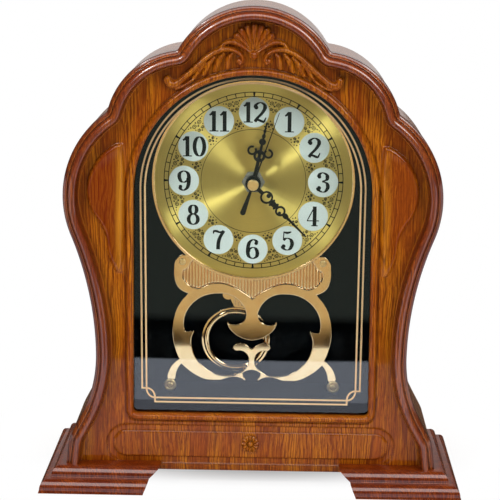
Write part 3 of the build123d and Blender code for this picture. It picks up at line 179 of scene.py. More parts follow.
def makePiece(name, points, faces, material, body, replaced=(), smooth=True, sharp=None):
    # a mesh of points in millimetres, its faces turned outwards; edges that turn by more than sharp stay sharp
    mesh = bpy.data.meshes.new(name)
    mesh.from_pydata((np.reshape(points, (-1, 3)) * mm).tolist(), [], [list(f) for f in faces])
    work = bmesh.new()
    work.from_mesh(mesh)
    bmesh.ops.recalc_face_normals(work, faces=work.faces)
    work.to_mesh(mesh)
    work.free()
    mesh.materials.append(material)
    mesh.polygons.foreach_set("use_smooth", np.full(len(mesh.polygons), smooth))
    if sharp:
        mesh.set_sharp_from_angle(angle=sharp)
    piece = bpy.data.objects.new(name, mesh)
    settle(piece, body, replaced)
    return piece


def setValues(piece, name, values):
    # one number for each point of a piece, for its material
    piece.data.attributes.new(name, "FLOAT", "POINT").data.foreach_set("value", np.ravel(values))


def finishCopy(node, material, body, fuller=0.0, brokenEdge=0.0):
    # a welded copy of a solid, each point pushed out along its normal by fuller; sharp edges are broken by a round of
    # brokenEdge that catches the light; both in millimetres
    mesh = nodes[node].data.copy()
    work = bmesh.new()
    work.from_mesh(mesh)
    bmesh.ops.remove_doubles(work, verts=work.verts, dist=weldGap)
    work.to_mesh(mesh)
    work.free()
    spots, normals = np.empty((2, 3 * len(mesh.vertices)))
    mesh.vertices.foreach_get("co", spots)
    mesh.vertices.foreach_get("normal", normals)
    mesh.vertices.foreach_set("co", spots + fuller * mm * normals)
    mesh.update()
    mesh.materials.clear()
    mesh.materials.append(material)
    mesh.polygons.foreach_set("use_smooth", np.ones(len(mesh.polygons), bool))
    mesh.set_sharp_from_angle(angle=sharpAngle)
    piece = bpy.data.objects.new(node + "_finish", mesh)
    if brokenEdge:
        bevel = piece.modifiers.new("brokenEdges", "BEVEL")
        bevel.width = brokenEdge * mm
        bevel.segments = 2
        bevel.limit_method = "ANGLE"
        bevel.angle_limit = sharpAngle
        bevel.use_clamp_overlap = False
        bevel.harden_normals = True
    settle(piece, body, [node])
    return piece


# Wood: a printed grain film under clear lacquer. Upright streaks under 1 mm wide wander a little, broader bands
# run from gold to brown, thin year rings and fine pores darken it. On the carved panel a stain attribute reddens
# the leaves; its heavier share on the left leaf is painted shade. A second attribute of painted light darkens
# hollows, quirks, grooves and edges with painted shade below 0. Above 0 it mixes in gold: a painted highlight on
# ridges and beads, and the moulding cove's own lighter tint.
woodLooks = {
    "panelWood": {"light": "#be7010", "mid": "#994809", "dark": "#4c1702", "coat": 0.3, "gloss": 0.06, "sheen": 0.03},
    "mouldingWood": {"light": "#96490f", "mid": "#7a2f09", "dark": "#471604", "coat": 0.9, "gloss": 0.1,
                     "sheen": 0.15},
    "footWood": {"light": "#8c3d0c", "mid": "#662205", "dark": "#3c0f02", "coat": 0.9, "gloss": 0.08, "sheen": 0.1},
    "shellWood": {"light": "#ac6c38", "mid": "#8f5328", "dark": "#5e2b10", "coat": 1.0, "gloss": 0.15, "sheen": 0.4,
                  "follows": "wrap"},
}
# A layer has a width and a length in millimetres and a detail. A range has two values and what they turn into, which
# is 0 and 1 where it isn't given.
woodGrain = {
    "layers": {"streak": (0.7, 24, 3.0), "band": (8, 110, 3.0), "pore": (0.32, 5.5, 3.0), "ring": (10, 90, 1.0)},
    "layerRough": 0.6, "streakRange": (0.3, 0.6, 0.3, 1.0), "bandRange": (0.2, 0.38),
    "poreRange": (0.54, 0.7, 0.0, 0.8), "rings": 5.0, "ringPitch": 1.9, "ringLean": (1.0, 0.8, 0.0),
    "ringRange": (0.05, 0.22, 1.0, 0.0), "ringFade": (0.35, 0.6, 0.25, 0.72), "drift": 28, "driftReach": 1.6,
    # hollow: the share of colour left under the darkest painted shade; gilded: the gold of painted highlights and of
    # the cove's tint
    "stainAndShade": "#6e1e02", "hollow": 0.3, "goldAndHighlight": "#d18d22", "roughness": 0.48, "relief": 0.04, "reliefDepth": 0.2,
}


def lacqueredWood(name):
    # layers of noise stretched along the grain: each one's range is the share of the next colour laid over the last
    look, grain = woodLooks[name], woodGrain
    made, tree, shader = newMaterial(name, {
        "Roughness": grain["roughness"], "IOR": 1.5, "Specular IOR Level": look["sheen"], "Coat Weight": look["coat"],
        "Coat Roughness": look["gloss"], "Coat IOR": 1.5})
    if "follows" in look:      # the piece carries its own grain direction: depth, 0, length along the band
        place = addNode(tree, "Attribute", out="Vector", attribute_name=look["follows"])
    else:
        place = addNode(tree, "TexCoord", out="Object")
    drift = addNode(tree, "TexNoise", place, at={"Scale": 1 / (grain["drift"] * mm), "Detail": 2.0}, out="Color")
    push = grain["driftReach"] * 2 * mm
    pushed = addNode(tree, "VectorMath", drift, (push, push, 0), place, operation="MULTIPLY_ADD")
    layer = {}
    for key, (wide, long, detail) in grain["layers"].items():
        stretch = (1 / (wide * mm), 1 / (wide * mm), 1 / (long * mm))
        spread = addNode(tree, "Mapping", pushed, at={"Scale": stretch})
        layer[key] = addNode(tree, "TexNoise", spread, out="Fac",
                             at={"Scale": 1.0, "Detail": detail, "Roughness": grain["layerRough"]})
    streak = addNode(tree, "MapRange", layer["streak"], *grain["streakRange"])
    broken = addNode(tree, "Math", layer["band"], layer["streak"], operation="MULTIPLY")
    band = addNode(tree, "MapRange", broken, *grain["bandRange"])
    pore = addNode(tree, "MapRange", layer["pore"], *grain["poreRange"])
    across = addNode(tree, "VectorMath", pushed, grain["ringLean"], out="Value", operation="DOT_PRODUCT")
    count = addNode(tree, "Math", across, 1 / (grain["ringPitch"] * mm), operation="MULTIPLY")
    wander = addNode(tree, "Math", layer["ring"], grain["rings"], count, operation="MULTIPLY_ADD")
    ring = addNode(tree, "Math", wander, 0.5, operation="PINGPONG")
    line = addNode(tree, "MapRange", ring, *grain["ringRange"])
    faded = addNode(tree, "MapRange", layer["band"], *grain["ringFade"])
    drawn = addNode(tree, "Math", line, faded, operation="MULTIPLY")
    dark = addNode(tree, "Math", pore, drawn, operation="MAXIMUM")
    browns = addNode(tree, "Mix", streak, at={6: linear(look["dark"]), 7: linear(look["mid"])}, out=2, data_type="RGBA")
    golden = addNode(tree, "Mix", band, at={6: browns, 7: linear(look["light"])}, out=2, data_type="RGBA")
    grained = addNode(tree, "Mix", dark, at={6: golden, 7: linear(look["dark"])}, out=2, data_type="RGBA")
    stainAndShade = addNode(tree, "Attribute", out="Fac", attribute_name="stainAndShade")
    stainedAndShaded = addNode(tree, "Mix", stainAndShade, at={6: grained, 7: linear(grain["stainAndShade"])}, out=2, data_type="RGBA")
    # painted light: below 0 painted shade scales the colour down, above 0 gold is mixed in as a painted highlight or
    # the cove's tint
    paintedLightAndTint = addNode(tree, "Attribute", out="Fac", attribute_name="paintedLightAndTint")
    above = addNode(tree, "MapRange", paintedLightAndTint)
    goldAndHighlight = addNode(tree, "Mix", above, at={6: stainedAndShaded, 7: linear(grain["goldAndHighlight"])}, out=2, data_type="RGBA")
    below = addNode(tree, "MapRange", paintedLightAndTint, -1.0, 0.0, grain["hollow"], 1.0)
    shaded = addNode(tree, "VectorMath", goldAndHighlight, at={"Scale": below}, operation="SCALE")
    bump = addNode(tree, "Bump", at={"Strength": grain["relief"], "Distance": grain["reliefDepth"] * mm,
                                     "Height": layer["streak"]})
    tree.links.new(shaded, shader.inputs["Base Color"])
    tree.links.new(bump, shader.inputs["Normal"])
    return made


# Specks: the share of the noise that counts as speck, its detail and the depth of its relief in millimetres.
specks = {"range": (0.45, 0.75), "detail": 3.0, "reliefDepth": 0.1}


def speckled(name, hexCode, speckHex, grit, relief, sockets):
    # an even surface with faint specks, and their grit in its relief where it has one; the grit's width in millimetres
    # is coarser than the real one where that wouldn't show
    made, tree, shader = newMaterial(name, sockets)
    place = addNode(tree, "TexCoord", out="Object")
    noise = addNode(tree, "TexNoise", place, at={"Scale": 1 / (grit * mm), "Detail": specks["detail"]}, out="Fac")
    share = addNode(tree, "MapRange", noise, *specks["range"])
    colour = addNode(tree, "Mix", share, at={6: linear(hexCode), 7: linear(speckHex)}, out=2, data_type="RGBA")
    tree.links.new(colour, shader.inputs["Base Color"])
    if relief:
        bump = addNode(tree, "Bump", at={"Strength": relief, "Distance": specks["reliefDepth"] * mm, "Height": noise})
        tree.links.new(bump, shader.inputs["Normal"])
    return made


# Spun metal: the rings change three times a turn and lie 260 to the dial's radius, 0.24 mm apart, which is coarser
# than real ones so that they show.
spin = {"light": "#e9d47c", "shade": "#d8bf66", "roughness": 0.44, "stretch": 1.0, "rings": (3, 260, 1)}


def spunMetal(name):
    # spun anodised aluminium: fine rings about the centre stretch each highlight into a ray; needs a ring map
    made, tree, shader = newMaterial(name, {"Metallic": 1.0, "Roughness": spin["roughness"],
                                            "Anisotropic": spin["stretch"]})
    ringMap = addNode(tree, "UVMap", uv_map="rings")
    spread = addNode(tree, "Mapping", ringMap, at={"Scale": spin["rings"]})
    noise = addNode(tree, "TexNoise", spread, at={"Scale": 1.0, "Detail": 2.0}, out="Fac")
    colour = addNode(tree, "Mix", noise, at={6: linear(spin["light"]), 7: linear(spin["shade"])}, out=2,
                     data_type="RGBA")
    tangent = addNode(tree, "Tangent", direction_type="UV_MAP", uv_map="rings")
    tree.links.new(colour, shader.inputs["Base Color"])
    tree.links.new(tangent, shader.inputs["Tangent"])
    return made


pane = {"tint": "#f7fbf9", "shadow": "#f4f8f6"}


def clearGlass(name):
    # float glass 2 mm thick: clear, with lamps let through to the dial behind it
    made, tree, shader = newMaterial(name, {"Base Color": linear(pane["tint"]), "Roughness": 0.0, "IOR": 1.5,
                                            "Transmission Weight": 1.0})
    path = addNode(tree, "LightPath").node.outputs
    clear = addNode(tree, "BsdfTransparent", linear(pane["shadow"]))
    both = addNode(tree, "MixShader", path["Is Shadow Ray"], shader.outputs[0], clear)
    tree.links.new(both, tree.nodes["Material Output"].inputs["Surface"])
    return made


# Even finishes: colour, speck colour, grit in millimetres, relief and the shader's own values.
evenLooks = {
    # buffed plate: clean mirror images in a pale rose gold
    "roseGoldPlate": ("#efd3ac", "#ebc99f", 7.0, 0.05, {"Metallic": 1.0, "Roughness": 0.05}),
    # turned brass: soft, broad yellow lights
    "turnedBrass": ("#f7dba4", "#efcd90", 0.6, 0.05, {"Metallic": 1.0, "Roughness": 0.3}),
    # satin lacquer on a stamped disc: an even pale silver without mirror images
    "satinDisc": ("#cfd9d8", "#c7d2d1", 0.5, 0.05, {"Roughness": 0.4, "IOR": 1.5, "Specular IOR Level": 0.3}),
    # ABS moulded in a polished tool: deep black with faint, sharp images
    "polishedBlackPlastic": ("#05080b", "#090c0f", 8.0, 0.0, {"Roughness": 0.06, "IOR": 1.5,
                                                              "Specular IOR Level": 0.03}),
    # baked enamel on stamped hands: black with a soft gloss
    "blackEnamel": ("#050505", "#0a0a0a", 0.8, 0.05, {"Roughness": 0.3, "IOR": 1.5, "Specular IOR Level": 0.2}),
    # pad-printed ink: flat black
    "dialInk": ("#050505", "#0a0a0a", 0.4, 0.05, {"Roughness": 0.5, "IOR": 1.5, "Specular IOR Level": 0.08}),
    # screen-printed bronze ink: a warm gold that stays even from all sides
    "printedGoldLine": ("#f2c892", "#e8ba82", 0.8, 0.05, {"Roughness": 0.4, "IOR": 1.5, "Metallic": 0.2}),
    # moulded nylon: milky and half clear
    "clearNylon": ("#e9e6d8", "#dedac9", 1.5, 0.05, {"Roughness": 0.12, "IOR": 1.5, "Transmission Weight": 0.7}),
    # ABS moulded in a grained tool: dull brown or black
    "mouldedBrownPlastic": ("#2a1a10", "#352215", 0.7, 0.3, {"Roughness": 0.55, "IOR": 1.5}),
    "mouldedBlackPlastic": ("#0d0d0e", "#161617", 0.6, 0.3, {"Roughness": 0.5, "IOR": 1.5}),
    # moulded acetal: waxy white
    "mouldedAcetal": ("#e5e3dc", "#d8d6ce", 0.8, 0.05, {"Roughness": 0.45, "IOR": 1.48}),
    # ABS moulded in a matt tool: plain grey
    "mouldedGreyPlastic": ("#9b9b99", "#8f8f8d", 0.6, 0.2, {"Roughness": 0.5, "IOR": 1.5}),
    # zinc on rolled or turned steel: a cool, slightly blurred shine
    "zincPlatedSteel": ("#b9bbbd", "#a7a9ab", 0.5, 0.05, {"Metallic": 1.0, "Roughness": 0.28}),
    # wound copper wire under enamel: a fine red-brown glitter
    "enamelledWire": ("#a4532a", "#8c4420", 0.3, 0.3, {"Metallic": 1.0, "Roughness": 0.35}),
    # lacquer on a glass-fibre board: glossy green
    "solderMask": ("#1c5a36", "#164a2c", 1.0, 0.05, {"Roughness": 0.35, "IOR": 1.5}),
    # shrunk film round a cell: dark grey under a clear gloss
    "printedFilm": ("#2b2d33", "#23252a", 2.0, 0.05, {"Roughness": 0.3, "IOR": 1.5, "Coat Weight": 0.5}),
    # pressed felt: dull black with a nap
    "blackFelt": ("#151515", "#202020", 0.3, 0.6, {"Roughness": 0.9, "IOR": 1.45}),
}
finish = {name: lacqueredWood(name) for name in woodLooks}
finish.update({name: speckled(name, *look) for name, look in evenLooks.items()})
finish["spunGoldDial"] = spunMetal("spunGoldDial")
finish["windowGlass"] = clearGlass("windowGlass")
print("materials made:", len(bpy.data.materials))

nodeFinish = {
    "shellWood": "case_shell",
    "panelWood": "front_frame",
    "footWood": "left_foot right_foot",
    "blackFelt": "foot_pads",
    "mouldedBrownPlastic": "rear_cover",
    "windowGlass": "window_glass",
    "polishedBlackPlastic": "inner_tray",
    "roseGoldPlate": "fret_plate fret_posts dial_bezel pendulum_bob pendulum_crest",
    "turnedBrass": "fret_screws hand_cap cannon_pinion",
    "spunGoldDial": "dial_plate",
    "satinDisc": "numeral_discs",
    "clearNylon": "centre_nut",
    "blackEnamel": "hour_hand minute_hand second_hand",
    "mouldedBlackPlastic": "movement_case movement_cover pendulum_hanger",
    "mouldedAcetal": "train_bridge hour_wheel motion_wheel second_wheel third_wheel minute_wheel intermediate_wheel "
                     "motor_rotor",
    "mouldedGreyPlastic": "setting_knob",
    "enamelledWire": "motor_coil pendulum_coil",
    "solderMask": "circuit_board",
    "printedFilm": "battery",
    "zincPlatedSteel": "rear_cover_screws foot_screws tray_screws stator battery_contacts pendulum_pin pendulum_rod",
}
for look, dressed in nodeFinish.items():
    for node in dressed.split():
        nodes[node].data.materials.clear()
        nodes[node].data.materials.append(finish[look])

# Softened solids: the round of the shell's edges and how much fuller the hands are, in millimetres.
softened = {"shellEdge": 0.3, "hands": 0.2}
shellBand = finishCopy("case_shell", finish["shellWood"], "case", brokenEdge=softened["shellEdge"])
for hand, body in (("hour_hand", "hours"), ("minute_hand", "minutes")):
    finishCopy(hand, finish["blackEnamel"], body, fuller=softened["hands"])
print("softened solids made")

# Feet: a profile of inset and height, in millimetres, carried round a rectangle so that its corners stay mitred.
foot = {
    "outer": 135.0, "halfDepth": 50.0, "bottom": 1.5, "slope": (0.7, 4.0), "shelf": (6.2, 9.7), "shelfEnd": (7.0, 9.7),
    "cove": (7.6, 10.4), "top": (13.4, 16.5), "innerX": (68.0, 64.5, 57.5), "innerZ": (1.5, 9.7, 16.5), "steps": 14,
    "sharp": 32,
}


def buildFoot(node, side):
    # from the floor: a slanting face, a round to the shelf, a hollow quarter and a round to the top
    t = np.linspace(0, np.pi / 2, foot["steps"])
    rise, turn = np.sin(t), 1 - np.cos(t)
    slope, shelf, end, cove, top = (np.array(foot[k]) for k in ("slope", "shelf", "shelfEnd", "cove", "top"))
    lower = slope + (shelf - slope) * np.stack([turn, rise], -1)
    hollow = end + (cove - end) * np.stack([rise, turn], -1)
    upper = cove + (top - cove) * np.stack([turn, rise], -1)
    inset, z = np.vstack([[0, foot["bottom"]], lower, hollow, upper[1:]]).T
    near, far = np.interp(z, foot["innerZ"], foot["innerX"]), foot["outer"] - inset
    deep = foot["halfDepth"] - inset
    x = side * np.stack([near, far, far, near], -1)
    y = np.stack([-deep, -deep, deep, deep], -1)
    points = np.stack([x, y, np.broadcast_to(z[:, None], x.shape)], -1)
    makePiece(node + "_finish", points, cappedFaces(len(z), 4), finish["footWood"], "case", [node],
              sharp=np.radians(foot["sharp"]))


buildFoot("left_foot", -1)
buildFoot("right_foot", 1)
print("feet made")

# Case outline, in millimetres: lobes and hollows as arcs, as the solids have them.
outline = {
    "bottom": 11.0, "baseHalf": 119.5, "top": (0, 256.5, 53.0), "shoulder": (41.2, 233.4, 49.2),
    "side": (52.6, 191.3, 64.8), "notch": 3.0, "waist": (98.4, 90.5), "flareRadius": 90.1, "flareAngle": 28.0,
    "ankleZ": 34.0, "ankleRadius": 20.0, "step": 0.8, "leastSteps": 8, "same": 1e-6,
}


def notchCentre(a, ra, b, rb):
    # centre of the small hollow that touches two lobes from outside
    near, far, gap = ra + outline["notch"], rb + outline["notch"], np.linalg.norm(b - a)
    along = (near**2 - far**2 + gap**2) / (2 * gap)
    way = (b - a) / gap
    return a + along * way + np.sqrt(near**2 - along**2) * np.array([-way[1], way[0]])


def caseOutline():
    # right half of the outline from the crown to the base corner: points and the unit normals that face inwards
    o = outline
    top, shoulder, side = (np.array(o[k][:2], float) for k in ("top", "shoulder", "side"))
    rTop, rShoulder, rSide = (o[k][2] for k in ("top", "shoulder", "side"))
    upper, lower = notchCentre(top, rTop, shoulder, rShoulder), notchCentre(shoulder, rShoulder, side, rSide)
    waist = np.array(o["waist"])
    drop, bulge = side[1] - waist[1], rSide - (waist[0] - side[0])
    rWaist = (drop**2 + bulge**2) / (2 * bulge) - rSide
    waistCentre = waist + (rWaist, 0)
    flare = np.radians(o["flareAngle"])
    flareCentre = waist + (o["flareRadius"], 0)
    flareEnd = flareCentre - o["flareRadius"] * np.array([np.cos(flare), np.sin(flare)])
    ankle = np.array([flareEnd[0] + (flareEnd[1] - o["ankleZ"]) * np.tan(flare), o["ankleZ"]])
    base = np.array([o["baseHalf"], o["bottom"]])
    splay = np.arctan2(base[0] - ankle[0], ankle[1] - base[1])
    tangent = o["ankleRadius"] * np.tan((flare - splay) / 2)
    downFlare, downSplay = np.array([np.sin(flare), -np.cos(flare)]), np.array([np.sin(splay), -np.cos(splay)])
    ankleStart, ankleEnd = ankle - tangent * downFlare, ankle + tangent * downSplay
    ankleCentre = ankleStart + o["ankleRadius"] * np.array([-np.cos(flare), -np.sin(flare)])
    # an arc has a centre, a radius, a start, an end and 1 for a lobe or -1 for a hollow; a straight run has its ends
    parts = [(top, rTop, top + (0, 1), upper, 1), (upper, o["notch"], top, shoulder, -1),
             (shoulder, rShoulder, upper, lower, 1), (lower, o["notch"], shoulder, side, -1),
             (side, rSide, lower, waistCentre, 1), (waistCentre, rWaist, side, waist, -1),
             (flareCentre, o["flareRadius"], waist, flareEnd, -1), (flareEnd, ankleStart),
             (ankleCentre, o["ankleRadius"], ankleStart, ankleEnd, 1), (ankleEnd, base)]
    runs, inward = [], []
    for part in parts:
        if len(part) == 2:
            reach = np.linalg.norm(part[1] - part[0])
            count = int(reach / o["step"]) + 2
            along = (part[1] - part[0]) / reach
            runs.append(part[0] + np.linspace(0, 1, count)[:, None] * (part[1] - part[0]))
            inward.append(np.tile([along[1], -along[0]], (count, 1)))
            continue
        centre, radius, start, end, sign = part
        first = np.arctan2(*(start - centre)[::-1])
        sweep = (np.arctan2(*(end - centre)[::-1]) - first + np.pi) % tau - np.pi
        count = max(int(abs(sweep) * radius / o["step"]), o["leastSteps"]) + 1
        spoke = arc(1, 1, (0, 0), first + np.linspace(0, 1, count) * sweep)
        runs.append(centre + radius * spoke)
        inward.append(-sign * spoke)
    points, normals = np.vstack(runs), np.vstack(inward)
    keep = np.r_[True, np.linalg.norm(np.diff(points, axis=0), axis=1) > o["same"]]
    return points[keep], normals[keep]


halfLine, halfNormal = caseOutline()
caseLine = np.vstack([halfLine[::-1] * flip, halfLine[1:]])      # base corner, over the crown, to base corner
caseNormal = np.vstack([halfNormal[::-1] * flip, halfNormal[1:]])

# Moulding: a profile of inset and depth, in millimetres, carried along the case outline. From outside: a slanting
# fillet, a thin bead, a quirk, a wide roll, another quirk and a cove that meets the panel. A shade line has its inset,
# its reach and its strength: below 0 it is painted shade on the outer edge and in the quirks, above 0 a painted
# highlight on the bead. The cove is gilded in its own lighter colour.
moulding = {
    "back": -26.0, "side": -33.2, "shoulder": (0.12, -33.9), "fillet": (0.5, -34.3), "filletY": -34.6, "bead": 2.5,
    "beadRound": 0.45, "rollStart": 3.2, "rollStartY": -34.8, "crown": -38.0, "crownAt": 6.2, "rollEnd": 8.3,
    "rollEndY": -35.6, "rollBend": 0.96, "coveStart": 8.6, "coveY": -34.4, "width": 10.4, "foot": -28.6, "steps": 9,
    "rollSteps": 14, "coveGilt": 0.22, "giltFrom": 8.7, "giltTo": 9.5,
    # shades: painted shade on the outer edge and in the quirks, and a painted highlight on the bead
    "shades": [(0.1, 1.1, -0.75), (2.5, 0.4, 0.22), (3.3, 0.6, -0.5), (8.4, 0.5, -0.7)],
}


def mouldingProfile():
    # the bead is a half circle; the roll climbs a quarter ellipse to its crown and bends down more and more steeply;
    # the cove is a hollow quarter ellipse
    m = moulding
    bead = arc(m["beadRound"], -m["beadRound"], (m["bead"], m["filletY"]), np.linspace(np.pi, 0, m["steps"]))
    outer = arc(m["crownAt"] - m["rollStart"], m["crown"] - m["rollStartY"], (m["crownAt"], m["rollStartY"]),
                np.linspace(np.pi, np.pi / 2, m["rollSteps"]))
    t = np.linspace(0, 1, m["steps"])[1:]
    bend = 1 - np.sqrt(1 - m["rollBend"] * t**2)
    inner = np.stack([m["crownAt"] + t * (m["rollEnd"] - m["crownAt"]),
                      m["crown"] + (m["rollEndY"] - m["crown"]) * bend / bend[-1]], -1)
    cove = arc(m["coveStart"] - m["width"], m["foot"] - m["coveY"], (m["width"], m["coveY"]),
               np.linspace(0, np.pi / 2, m["steps"]))
    edge = [[0, m["back"]], [0, m["side"]], m["shoulder"], m["fillet"]]
    return np.vstack([edge, bead, outer, inner, cove, [m["width"], m["back"]]])


def buildMoulding():
    # the profile at every point of the outline, set in along its normal and cut level at the base
    inset, y = mouldingProfile().T
    rail = atDepth(caseLine[:, None] + caseNormal[:, None] * inset[:, None], y)
    rail[..., 2] = np.maximum(rail[..., 2], outline["bottom"])
    piece = makePiece("frame_moulding", rail, cappedFaces(*rail.shape[:2]), finish["mouldingWood"], "case",
                      ["front_frame"])
    # the cove's own lighter tint, then painted shade lines and a painted bead highlight from the shades
    paintedLightAndTint = moulding["coveGilt"] * smoothStep(moulding["giltFrom"], moulding["giltTo"], inset)
    for middle, reach, strength in moulding["shades"]:
        paintedLightAndTint += strength * bell(inset - middle, reach)
    setValues(piece, "paintedLightAndTint", np.tile(paintedLightAndTint, len(rail)))
    print("frame moulding:", len(rail), "stations")


def wrapShell():
    # each point of the shell band takes the length along the outline at the nearest outline point, so that the grain
    # runs round the case
    mesh = shellBand.data
    corners = np.empty(3 * len(mesh.vertices))
    mesh.vertices.foreach_get("co", corners)
    corners = corners.reshape(-1, 3)
    gaps = np.linalg.norm(corners[:, None, [0, 2]] / mm - caseLine, axis=-1)
    wrap = np.stack([corners[:, 1], np.zeros(len(corners)), lengthsAlong(caseLine)[gaps.argmin(1)] * mm], -1)
    mesh.attributes.new("wrap", "FLOAT_VECTOR", "POINT").data.foreach_set("vector", wrap.ravel())
    print("shell band:", len(corners), "points")


buildMoulding()
wrapShell()

# Carved front panel: depth is a height map over x and z on rays from inside the window to the moulding.
panel = {
    "y": -29.0, "back": -26.0, "hub": (0, 150.0), "inset": 8.9, "fineRays": 560, "plainRays": 760, "fineHalf": 34.0,
    "steps": 58, "beadSteps": 13, "baseSteps": 3000,
    "window": {"half": 74.0, "footHalf": 75.5, "archZ": 193.5, "bottom": 49.5, "corner": 3.0, "samples": 4000,
               "cornerSamples": 60},
    # the bead's shade is painted shade in the quirk just outside it
    "bead": {"width": 4.3, "height": 2.6, "end": 5.5, "quirk": 0.4, "quirkAt": 4.8, "quirkReach": 0.35, "shade": 0.55,
             "shadeAt": 4.7, "shadeReach": 0.7, "clearFrom": 2.8, "clearTo": 5.1},
    # the stadium's line is the strength of painted shade lines along the channel's walls
    "stadium": {"z": 28.5, "half": 93.2, "radius": 13.4, "channel": 4.6, "depth": 0.9, "wall": 0.7, "line": 0.4,
                "lineReach": 0.55},
}


def windowLine():
    # the window outline as a dense loop: an arch, splayed sides and a sill with rounded corners
    w = panel["window"]
    ring = arc(w["half"], w["half"], (0, w["archZ"]), np.linspace(0, np.pi, w["samples"]))
    corner = arc(w["corner"], -w["corner"], (w["footHalf"] - w["corner"], w["bottom"] + w["corner"]),
                 np.linspace(0, np.pi / 2, w["cornerSamples"]))
    t = np.linspace(0, 1, w["samples"])[:, None]
    left = ring[-1] + t * (corner[0] * flip - ring[-1])
    right = corner[0] + t * (ring[0] - corner[0])
    sill = corner[-1] * flip + t * (corner[-1] - corner[-1] * flip)
    return np.vstack([ring, left, corner * flip, sill, corner[::-1], right])


def windowMargin(x, z):
    # distance out from the window edge, square to it: round the arch, from the splayed sides and from the sill
    w = panel["window"]
    slope = (w["footHalf"] - w["half"]) / (w["archZ"] - w["bottom"])
    sideGap = abs(x) - (w["half"] + slope * (w["archZ"] - z))
    sillGap = w["bottom"] - z
    corner = np.hypot(np.maximum(sideGap + w["corner"], 0), np.maximum(sillGap + w["corner"], 0)) - w["corner"]
    straight = np.where((sideGap > -w["corner"]) & (sillGap > -w["corner"]), corner, np.maximum(sideGap, sillGap))
    return np.where(z > w["archZ"], np.hypot(x, z - w["archZ"]) - w["half"], straight)


def radiusAt(angles, line):
    # distance from the hub to a loop in each direction
    p = line - np.array(panel["hub"])
    a, r = np.arctan2(p[:, 1], p[:, 0]) % tau, np.hypot(p[:, 0], p[:, 1])
    order = np.argsort(a)
    return np.interp(angles, a[order], r[order], period=tau)


# Crest carving, right half, in millimetres: curves with half-widths from start to end and a height. A flute of the
# shell has four points at shares of its ray.
crest = {
    "shellBase": (0, 281.5), "shellRim": 15.8, "rimDrop": 0.14, "shellSpread": 62, "flutes": 5,
    "fluteAt": (0.14, 0.4, 0.7, 1.0), "fluteWidths": (0.5, 0.9, 1.5, 2.0), "fluteHeights": (0.7, 1.9), "lift": 1.5,
    "ridges": [
        ([(2.0, 281.5), (6.5, 284.7), (11.0, 287.2), (15.2, 287.7), (18.4, 286.4), (20.2, 284.2)], (1.0, 1.5, 1.3),
         2.2),
        ([(8.2, 274.6), (6.7, 276.2), (7.0, 278.7), (9.0, 281.1), (12.6, 282.9), (17.4, 283.4), (22.5, 282.0),
          (28.0, 278.8), (33.5, 274.0), (38.5, 269.3), (44.5, 264.0)], (1.0, 1.5, 1.9, 2.1, 2.0), 2.5),
        ([(44.5, 264.0), (47.5, 261.9), (50.8, 262.2), (52.6, 265.0)], (2.0, 2.8, 2.4), 2.3),
        ([(37.0, 264.6), (42.0, 261.0), (47.0, 259.2)], (0.9, 1.4, 1.0), 1.5),
        ([(13.2, 280.6), (15.4, 277.6), (16.0, 272.2)], (1.0, 1.7, 1.5), 1.7),
        ([(18.4, 280.6), (21.6, 276.2), (23.6, 270.4)], (1.0, 1.9, 1.5), 1.7),
        ([(23.8, 278.4), (27.4, 274.0), (30.6, 268.0)], (1.0, 1.9, 1.4), 1.7),
        ([(29.6, 274.8), (33.0, 270.6), (36.6, 265.6)], (1.0, 1.7, 1.1), 1.5),
    ],
    "balls": [((9.0, 276.4), 2.0, 2.1), ((0, 280.0), 2.9, 2.6)],
}
# Side leaves: an outer edge and a ridge; stain and ridge highlight are those of the left leaf and of the right one.
# The left leaf's heavier stain is painted shade, the ridge highlight is a painted highlight and the shadow is a
# painted shadow outside the edge.
leaf = {
    "outer": [(82.5, 224.6), (84.8, 224.2), (90.6, 220.2), (95.6, 215.0), (100.4, 206.8), (102.7, 198.0),
              (102.2, 190.0), (99.4, 181.6), (94.4, 173.4), (91.6, 166.0), (90.4, 156.0), (87.8, 147.4), (85.4, 143.0),
              (83.8, 142.6)],
    "ridge": [(82.6, 224.6), (81.9, 213.5), (81.8, 200.5), (82.4, 181.8), (82.8, 168.5), (83.3, 154.3), (83.9, 142.6)],
    "ridgeHeight": 3.2, "edgeTop": 2.1, "edgeFoot": 0.7, "edgeRise": (0.2, 0.75), "edge": 2.0, "bladeBend": 1.2,
    "innerFall": 3.6, "from": 76.0, "around": 9.0, "stainAndShade": (0.62, 0.14), "stainFade": (-1.0, 3.0), "gilt": (0.55, 0.2),
    "ridgeHighlightWidth": 2.4, "shadow": 0.42, "shadowWidth": 3.5, "shadowRise": (0.15, 0.6),
}
# Painted light on the panel: hollow is painted shade round the crest carvings, top a faint painted highlight on them,
# rim painted shade along the moulding; far and around bound the search for the nearest carving.
tones = {"hollow": 0.45, "hollowReach": 0.9, "top": 0.04, "rim": 0.3, "rimWidth": 5.0, "far": 9.0, "around": 5.0}


def roundRidge(x, z, points, widths, heights):
    # a carved ridge along a smooth curve, half-round across; half-width and height go from the first to the last of
    # theirs; also the distance from its middle as a share of the half-width
    curve = throughPoints(points)
    share = lengthsAlong(curve) / lengthsAlong(curve)[-1]
    half = np.interp(share, np.linspace(0, 1, len(widths)), widths)
    rise, reach = np.zeros_like(x), np.full_like(x, tones["far"])
    low, high = curve.min(0) - tones["around"], curve.max(0) + tones["around"]
    near = (abs(x) > low[0]) & (abs(x) < high[0]) & (z > low[1]) & (z < high[1])
    gap = np.hypot(abs(x[near])[:, None] - curve[:, 0], z[near][:, None] - curve[:, 1])
    closest = np.argmin(gap / half, axis=1)
    reach[near] = gap[np.arange(len(closest)), closest] / half[closest]
    first, last = np.broadcast_to(heights, 2)
    rise[near] = (first + (last - first) * share[closest]) * dome(reach[near])
    return rise, reach


